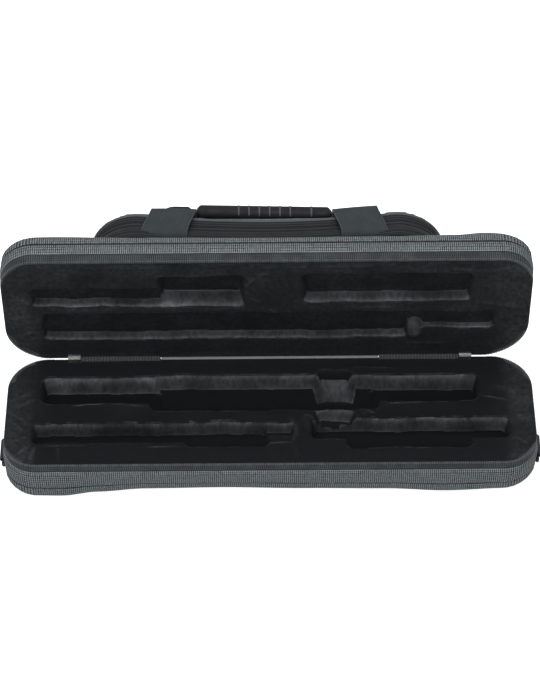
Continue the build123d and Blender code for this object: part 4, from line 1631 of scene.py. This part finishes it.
        # Painted seam shadow at the pad's sewn edge.
        rows = [(face - 0.9, 0.5), (face - 1.9, 0.7), (self.panel_level + 0.2, 0.2, 0.8)]
        down = skirt(bm, ring, rows, places)
        close_bottom(bm, down)
        set_cloth_uv(bm, places)
        piece = write_piece(bm, "pocket_pad", self.seat.matrix())
        self.puff(piece)
        self.press_channel(piece, plan)
        wardrobe.dress(piece, Finish.TWEED)
        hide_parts("pocket_panel")
        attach(piece, "lid")

    def puff(self, piece: Piece) -> None:
        """Fills the pad by cloth simulation, held where it is sewn and kept within the cap."""
        voxels = piece.modifiers.new("voxels", "REMESH")
        voxels.mode = "VOXEL"
        voxels.voxel_size = self.voxel * MM
        shown = piece.evaluated_get(bpy.context.evaluated_depsgraph_get())
        piece.data = bpy.data.meshes.new_from_object(shown)
        piece.modifiers.clear()
        matrix = self.seat.matrix()
        back = matrix.inverted()
        rest = [back @ vert.co for vert in piece.data.vertices]
        sewn = piece.vertex_groups.new(name="sewn")
        held = [index for index, place in enumerate(rest) if place.z < self.face_level - 1.2]
        sewn.add(held, 1.0, "REPLACE")
        cloth = piece.modifiers.new("puff", "CLOTH")
        cloth.settings.vertex_group_mass = "sewn"
        cloth.settings.use_pressure = True
        cloth.settings.uniform_pressure_force = self.pressure
        cloth.settings.effector_weights.gravity = 0.0
        for step in range(1, self.puff_frames + 1):
            bpy.context.scene.frame_set(step)
        swollen = piece.evaluated_get(bpy.context.evaluated_depsgraph_get()).data
        moved = [back @ vert.co for vert in swollen.vertices]
        piece.modifiers.clear()
        piece.vertex_groups.clear()
        bpy.context.scene.frame_set(1)
        uv = (piece.data.uv_layers.get("cloth") or piece.data.uv_layers.new(name="cloth")).data
        for vert, start, stop in zip(piece.data.vertices, rest, moved):
            shift = stop - start
            vert.co = matrix @ (start + shift * min(1.0, self.puff_cap / max(shift.length, 1e-6)))
        for loop in piece.data.loops:
            place = rest[loop.vertex_index]
            uv[loop.index].uv = (place.x * MM, (place.y + CLOTH_START) * MM)

    def press_channel(self, piece: Piece, plan: Plan) -> None:
        """Presses the sewn channel and the slack of the cloth into the pad's face."""
        matrix = self.seat.matrix()
        back = matrix.inverted()
        for vert in piece.data.vertices:
            place = back @ vert.co
            if place.z > self.face_level - 0.8:
                inside = plan.inside(place.x, place.y)
                crown = smoothstep(inside / CROWN_RUN)
                channel = math.exp(-(((inside - self.channel_inset) / self.channel_run) ** 2))
                slack = 0.3 * waver(place.x * 0.03, place.y * 0.05, 8.0) * crown
                place.z += slack - 0.5 * channel
                vert.co = matrix @ place
        smooth = piece.modifiers.new("smooth", "SUBSURF")
        smooth.levels = smooth.render_levels = 1


# ------------------------------------------------------------------------------ carrying handle
@dataclass
class Handle:
    """Two webbing bands sewn to the lid, and the moulded grip between them."""

    seat: Seat
    shift: float = -3.5
    band_width: float = 37.0
    band_thickness: float = 1.8
    narrowing: float = 1.2
    crown: float = 0.35
    columns: int = 12
    fold_start: int = 8
    root_x: float = 80.0
    top_x: float = 72.4
    top_tilt: Pair = (-1.0, 3.6)
    path: tuple[Pair, ...] = ((-46.6, 33.0), (-49.6, 48.0), (-48.9, 67.2), (-24.0, 67.2))
    fold_radius: float = 3.4
    grip_y: float = -30.6
    grip_slope: float = 0.032
    grip_bottom: float = 66.0
    grip_half: Pair = (11.6, 6.6)
    ear_half: Pair = (9.6, 4.3)
    neck_x: float = 56.2
    neck_run: float = 1.9
    rib_proud: float = 0.5
    rib_run: float = 0.9
    rib_places: tuple[float, ...] = (-20.5, -12.2, -3.9, 4.4, 12.7, 21.0, 38.0)
    ear: Pair = (57.6, 78.5)
    body_end: float = 56.0
    grip_cells: int = 264

    def route(self) -> list[Pair]:
        """(y, level) stations of a band's centre, with a round fold over the pocket's edge."""
        root, knee, top, tail = self.path
        r = self.fold_radius
        points = [root, ((root[0] + knee[0]) / 2 - 0.4, (root[1] + knee[1]) / 2)]
        points += [(knee[0] + 0.3, knee[1] - 1.5), (knee[0], knee[1] + 1.5)]
        for k in (1, 2, 3):
            bow = 0.5 * math.sin(math.pi * k / 3)
            rise = (top[1] - r - knee[1]) * k / 3
            points.append((knee[0] + (top[0] - knee[0]) * k / 3 - bow, knee[1] + rise))
        for k in range(1, 7):
            a = math.radians(90 * k / 6)
            points.append((top[0] + r - r * math.cos(a), top[1] - r + r * math.sin(a)))
        run, rise = tail[0] - top[0] - r, tail[1] - top[1]
        return points + [(top[0] + r + run * k / 4, top[1] + rise * k / 4) for k in (1, 2, 3, 4)]

    def build_band(self, side: int, side_name: str, wardrobe: Wardrobe) -> None:
        """One webbing band with its selvedges and sewn root."""
        stations = self.route()
        slant = self.top_tilt[side > 0]

        def place(number: int, share: float) -> tuple[Vector, float]:
            """A vertex of the band, and how far across it is."""
            y, level = stations[number]
            lean = smoothstep((level - 36.0) / 32.0) if number < self.fold_start else 1.0
            centre = self.shift + side * (self.root_x + (self.top_x - self.root_x) * lean)
            width = self.band_width - self.narrowing * lean
            across = share - 0.5
            crown = self.crown * math.cos(math.pi * across)
            tilt = slant * across * lean
            co = Vector((centre + across * width, y - crown * (1 - lean) - tilt, level + crown * lean))
            return co, across * self.band_width

        bm = ribbon(self.columns, stations, place, lengthwise=True)
        name, nodes = f"handle_band_{side_name}", [f"webbing_band_{side_name}"]
        piece = wardrobe.make(bm, name, self.seat.matrix(), Finish.WEBBING, nodes, "handle")
        hem(piece, self.band_thickness, 0.0)

    def build_grip(self, wardrobe: Wardrobe) -> None:
        """The moulded grip: a body with finger ribs between two flat ears."""
        bm = bmesh.new()
        ribs = bm.verts.layers.float.new("rib")
        row = circle_row(bm, 32)
        angles = [math.atan2(vert.co.y, vert.co.x) for vert in row]
        for number, (x, half_width, half_height, middle, rib) in enumerate(self.grip_stations()):
            if number:
                row = extrude_row(bm, row)
            for vert, angle in zip(row, angles):
                c, s = math.cos(angle), math.sin(angle)
                facing = smoothstep((-c - 0.25) / 0.4) * smoothstep((0.93 - abs(s)) / 0.2)
                out = (half_width + self.rib_proud * rib * facing) * math.copysign(abs(c) ** 0.6, c)
                up = half_height * math.copysign(abs(s) ** 0.6, s)
                vert.co = Vector((x + self.shift, self.grip_y + self.grip_slope * x + out, middle + up))
                # The rib layer marks where the painted highlight goes on the ribs' front.
                vert[ribs] = rib * facing
        bmesh.ops.holes_fill(bm, edges=bm.edges, sides=0)
        bmesh.ops.recalc_face_normals(bm, faces=bm.faces)
        wardrobe.make(bm, "grip", self.seat.matrix(), Finish.RUBBER, ["handle_grip"], "handle")

    def grip_stations(self) -> list[tuple[float, float, float, float, float]]:
        """(x, half width, half height, middle level, rib) along the grip, ears included."""
        stations = []
        count = self.grip_cells
        start, stop = self.ear
        for index in range(count + 1):
            x = (2 * index / count - 1) * (stop + 2.5)
            away = abs(x)
            body = smoothstep((self.body_end - away) / 5.5)
            tip = 0.4 + 0.6 * math.sqrt(max(0.02, 1 - max(0.0, (away - stop + 6.5) / 9.2) ** 2))
            neck = math.exp(-(((away - self.neck_x) / self.neck_run) ** 2))
            ribs = [math.exp(-(((x - place) / self.rib_run) ** 2)) for place in self.rib_places]
            rib = max(ribs)
            half_width = (self.ear_half[0] * tip - 2.4 * neck) * (1 - body) + self.grip_half[0] * body
            half_height = (self.ear_half[1] * tip - 2.2 * neck) * (1 - body) + self.grip_half[1] * body
            ear_rise = 2.4 * smoothstep((away - start) / 4.0)
            middle = self.grip_bottom + (5.6 + ear_rise - 0.8 * neck) * (1 - body) + 6.7 * body
            stations.append((x, half_width, half_height, middle, rib))
        return stations

    def build(self, wardrobe: Wardrobe) -> None:
        """Builds and dresses the handle."""
        for side_name, side in SIDES.items():
            self.build_band(side, side_name, wardrobe)
        self.build_grip(wardrobe)


# ------------------------------------------------------------------------------ metal and tabs
@dataclass
class Fittings:
    """Sliders and pulls, and the strap rings in their webbing tabs."""

    wall_x: float = 210.8
    bar_x: float = 213.6
    bar_height: float = 20.0
    offset: float = -19.0
    tab_width: float = 19.0
    tab_cells: int = 8
    tab_thickness: float = 1.2
    tab_top: float = 36.0
    wire: float = 1.4
    ring_width: float = 22.0
    ring_drop: float = 9.5
    ring_corner: float = 4.0

    def build_tab(self, side: int, side_name: str, wardrobe: Wardrobe) -> None:
        """A loop of webbing sewn under the zip tape and folded round the ring's bar."""
        turn = self.wire + 0.8
        wall, low, top = self.wall_x, self.bar_height + 4.0, self.tab_top
        path = [(wall + 0.4, top), (wall + 0.9, top - 5.0), (wall + 1.9, low)]
        for degrees in range(60, -181, -30):
            angle = math.radians(degrees)
            path.append((self.bar_x + turn * math.cos(angle), self.bar_height + turn * math.sin(angle)))
        path += [(wall + 0.7, low), (wall + 0.1, top - 4.0)]

        def place(number: int, share: float) -> tuple[Vector, float]:
            """A vertex of the loop, and how far across it is."""
            across = (share - 0.5) * self.tab_width
            x, z = path[number]
            return Vector((side * x, self.offset + across, z)), across

        bm = ribbon(self.tab_cells, path, place, lengthwise=True)
        name, nodes = f"strap_tab_{side_name}", [f"end_tab_{side_name}"]
        piece = wardrobe.make(bm, name, Matrix.Scale(MM, 4), Finish.BLACK_WEBBING, nodes, "base")
        hem(piece, self.tab_thickness, 0.0)

    def build_ring(self, side: int, side_name: str, wardrobe: Wardrobe) -> None:
        """A bent wire ring that hangs from its tab."""
        half, r = self.ring_width / 2, self.ring_corner
        top, bottom = -r, -self.ring_drop + r
        corners = [(half - r, top, 90.0), (r - half, top, 180.0)]
        corners += [(r - half, bottom, 270.0), (half - r, bottom, 360.0)]
        path = []
        for y, z, start in corners:
            middle = Vector((side * self.bar_x, self.offset + y, self.bar_height + z))
            for step in range(6):
                angle = math.radians(start + 90.0 * step / 5)
                out = Vector((0.0, math.cos(angle), math.sin(angle)))
                path.append((middle + out * r, out))
        bm = bent_wire(path, self.wire, Vector((1.0, 0.0, 0.0)))
        name, body = f"strap_ring_wire_{side_name}", f"strap_ring_{side_name}"
        wardrobe.make(bm, name, Matrix.Scale(MM, 4), Finish.RING, [f"d_ring_{side_name}"], body)

    def build(self, wardrobe: Wardrobe) -> None:
        """Builds the tabs and rings and dresses the sliders."""
        for side_name, side in SIDES.items():
            self.build_tab(side, side_name, wardrobe)
            self.build_ring(side, side_name, wardrobe)
        for node in [f"main_{part}_{side}" for part in ("slider", "pull") for side in SIDES]:
            wardrobe.dress_node(node, Finish.SLIDER)
        for node in ("pocket_slider", "pocket_pull"):
            wardrobe.dress_node(node, Finish.SLIDER)


# ------------------------------------------------------------------------------ studio
@dataclass
class Studio:
    """Pale floor, soft lamps and the camera."""

    elevation: float = 50.3
    distance: float = 1900.0
    lens: float = 120.2
    roll: float = -0.45
    shift: Pair = (0.3 / 700, 7.3 / 700)
    floor_half: float = 6.0
    floor_glow: float = 0.75
    sky_light: float = 0.38
    aim: Three = (0.0, 0.04, 0.06)

    def build_camera(self) -> None:
        """The camera, in front of the case and above it."""
        data = bpy.data.cameras.new("camera")
        data.sensor_fit = "AUTO"
        data.sensor_width = 36.0
        data.lens = self.lens
        data.clip_end = 20.0
        data.shift_x, data.shift_y = self.shift
        camera = bpy.data.objects.new("camera", data)
        rise = math.radians(self.elevation)
        away = Vector((0.0, -math.cos(rise), math.sin(rise)))
        camera.location = (HINGE_LINE + away * self.distance) * MM
        look = (-away).to_track_quat("-Z", "Y").to_matrix().to_4x4()
        roll = Matrix.Rotation(math.radians(self.roll), 4, "Z")
        camera.matrix_world = Matrix.Translation(camera.location) @ look @ roll
        bpy.context.scene.collection.objects.link(camera)
        bpy.context.scene.camera = camera

    @staticmethod
    def shown_to_camera(board: Board) -> Socket:
        """1 for rays from the camera, glossy and transmission rays."""
        path = board.node("ShaderNodeLightPath")
        seen = board.math("MAXIMUM", path.outputs["Is Camera Ray"], path.outputs["Is Glossy Ray"])
        return board.math("MAXIMUM", seen, path.outputs["Is Transmission Ray"])

    def build_floor(self) -> None:
        """The pale floor, which keeps the shadow."""
        bm = bmesh.new()
        bmesh.ops.create_grid(bm, x_segments=1, y_segments=1, size=self.floor_half)
        floor = write_piece(bm, "floor", Matrix.Identity(4))
        material, board = new_material("pale_floor")
        glow = board.times(self.shown_to_camera(board), self.floor_glow)
        board.surface(
            Base_Color=(0.8, 0.8, 0.8, 1.0), Roughness=0.9, Specular_IOR_Level=0.0,
            Emission_Color=(1.0, 1.0, 1.0, 1.0), Emission_Strength=glow,
        )
        floor.data.materials.append(material)

    def build_world(self) -> None:
        """White behind the case, soft grey as light."""
        world = bpy.data.worlds.new("studio")
        bpy.context.scene.world = world
        world.use_nodes = True
        world.node_tree.nodes.clear()
        board = Board(world.node_tree)
        background = board.node("ShaderNodeBackground")
        board.feed(background.inputs["Color"], (1.0, 1.0, 1.0, 1.0))
        strength = board.ramp(self.shown_to_camera(board), 0.0, 1.0, self.sky_light, 1.0)
        board.feed(background.inputs["Strength"], strength)
        output = board.node("ShaderNodeOutputWorld")
        board.feed(output.inputs["Surface"], background.outputs[0])

    def build_lamp(self, name: str, place: Three, size: float, power: float) -> None:
        """A square soft lamp aimed at the case."""
        data = bpy.data.lights.new(name, "AREA")
        data.shape = "SQUARE"
        data.size = size
        data.energy = power
        lamp = bpy.data.objects.new(name, data)
        aim = (Vector(self.aim) - Vector(place)).to_track_quat("-Z", "Y")
        lamp.matrix_world = Matrix.Translation(place) @ aim.to_matrix().to_4x4()
        bpy.context.scene.collection.objects.link(lamp)

    def build(self) -> None:
        """Builds the whole studio."""
        self.build_camera()
        self.build_floor()
        self.build_world()
        self.build_lamp("top_softbox", (0.0, 0.2, 1.6), 1.2, 22.0)
        self.build_lamp("front_softbox", (-0.3, -1.5, 1.0), 1.0, 14.0)
        bpy.context.scene.view_settings.view_transform = "Standard"


def main() -> None:
    """Builds the case piece by piece."""
    logging.basicConfig(level=logging.INFO, format="%(message)s")
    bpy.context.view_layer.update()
    wardrobe = Wardrobe()
    base_seat = Seat(Vector((0.0, 0.0, 45.0)), Vector((0.0, 1.0, 0.0)), Vector((0.0, 0.0, -1.0)))
    lid_seat = Seat(HINGE_LINE + LID_ALONG * 54.0 + LID_OUT * (RIM_GAP / 2), -LID_ALONG, LID_OUT)
    Studio().build()
    CaseHalf(
        name="base", body="base", outer_cover="base_bottom_cover", seat=base_seat,
        moulding=BASE_MOULDING, plan=Plan(210.7, 54.0, (25.0, 27.0, 31.0, 32.0)), height=44.0,
        seam=29.0, edge_radius=8.0, lifts=BASE_LIFTS, lift_start=9.5, pile_front_gap=1.2,
    ).build(wardrobe)
    CaseHalf(
        name="lid", body="lid", outer_cover="lid_top_cover", seat=lid_seat.moved(LID_LEAN),
        moulding=LID_MOULDING, plan=Plan(209.7, 54.0, (27.0, 25.0, 34.0, 37.0)), height=38.0,
        seam=20.0, edge_radius=10.0, lifts=LID_LIFTS, lift_start=20.5, pile_front_gap=3.2,
        outset=0.4, bulge=0.2, wall_shade=0.32, tape_width=9.5,
    ).build(wardrobe)
    FabricHinge().build(wardrobe)
    Pocket(lid_seat.moved(POCKET_LEAN)).build(wardrobe)
    Handle(lid_seat).build(wardrobe)
    Fittings().build(wardrobe)


if __name__ == "__main__":
    main()
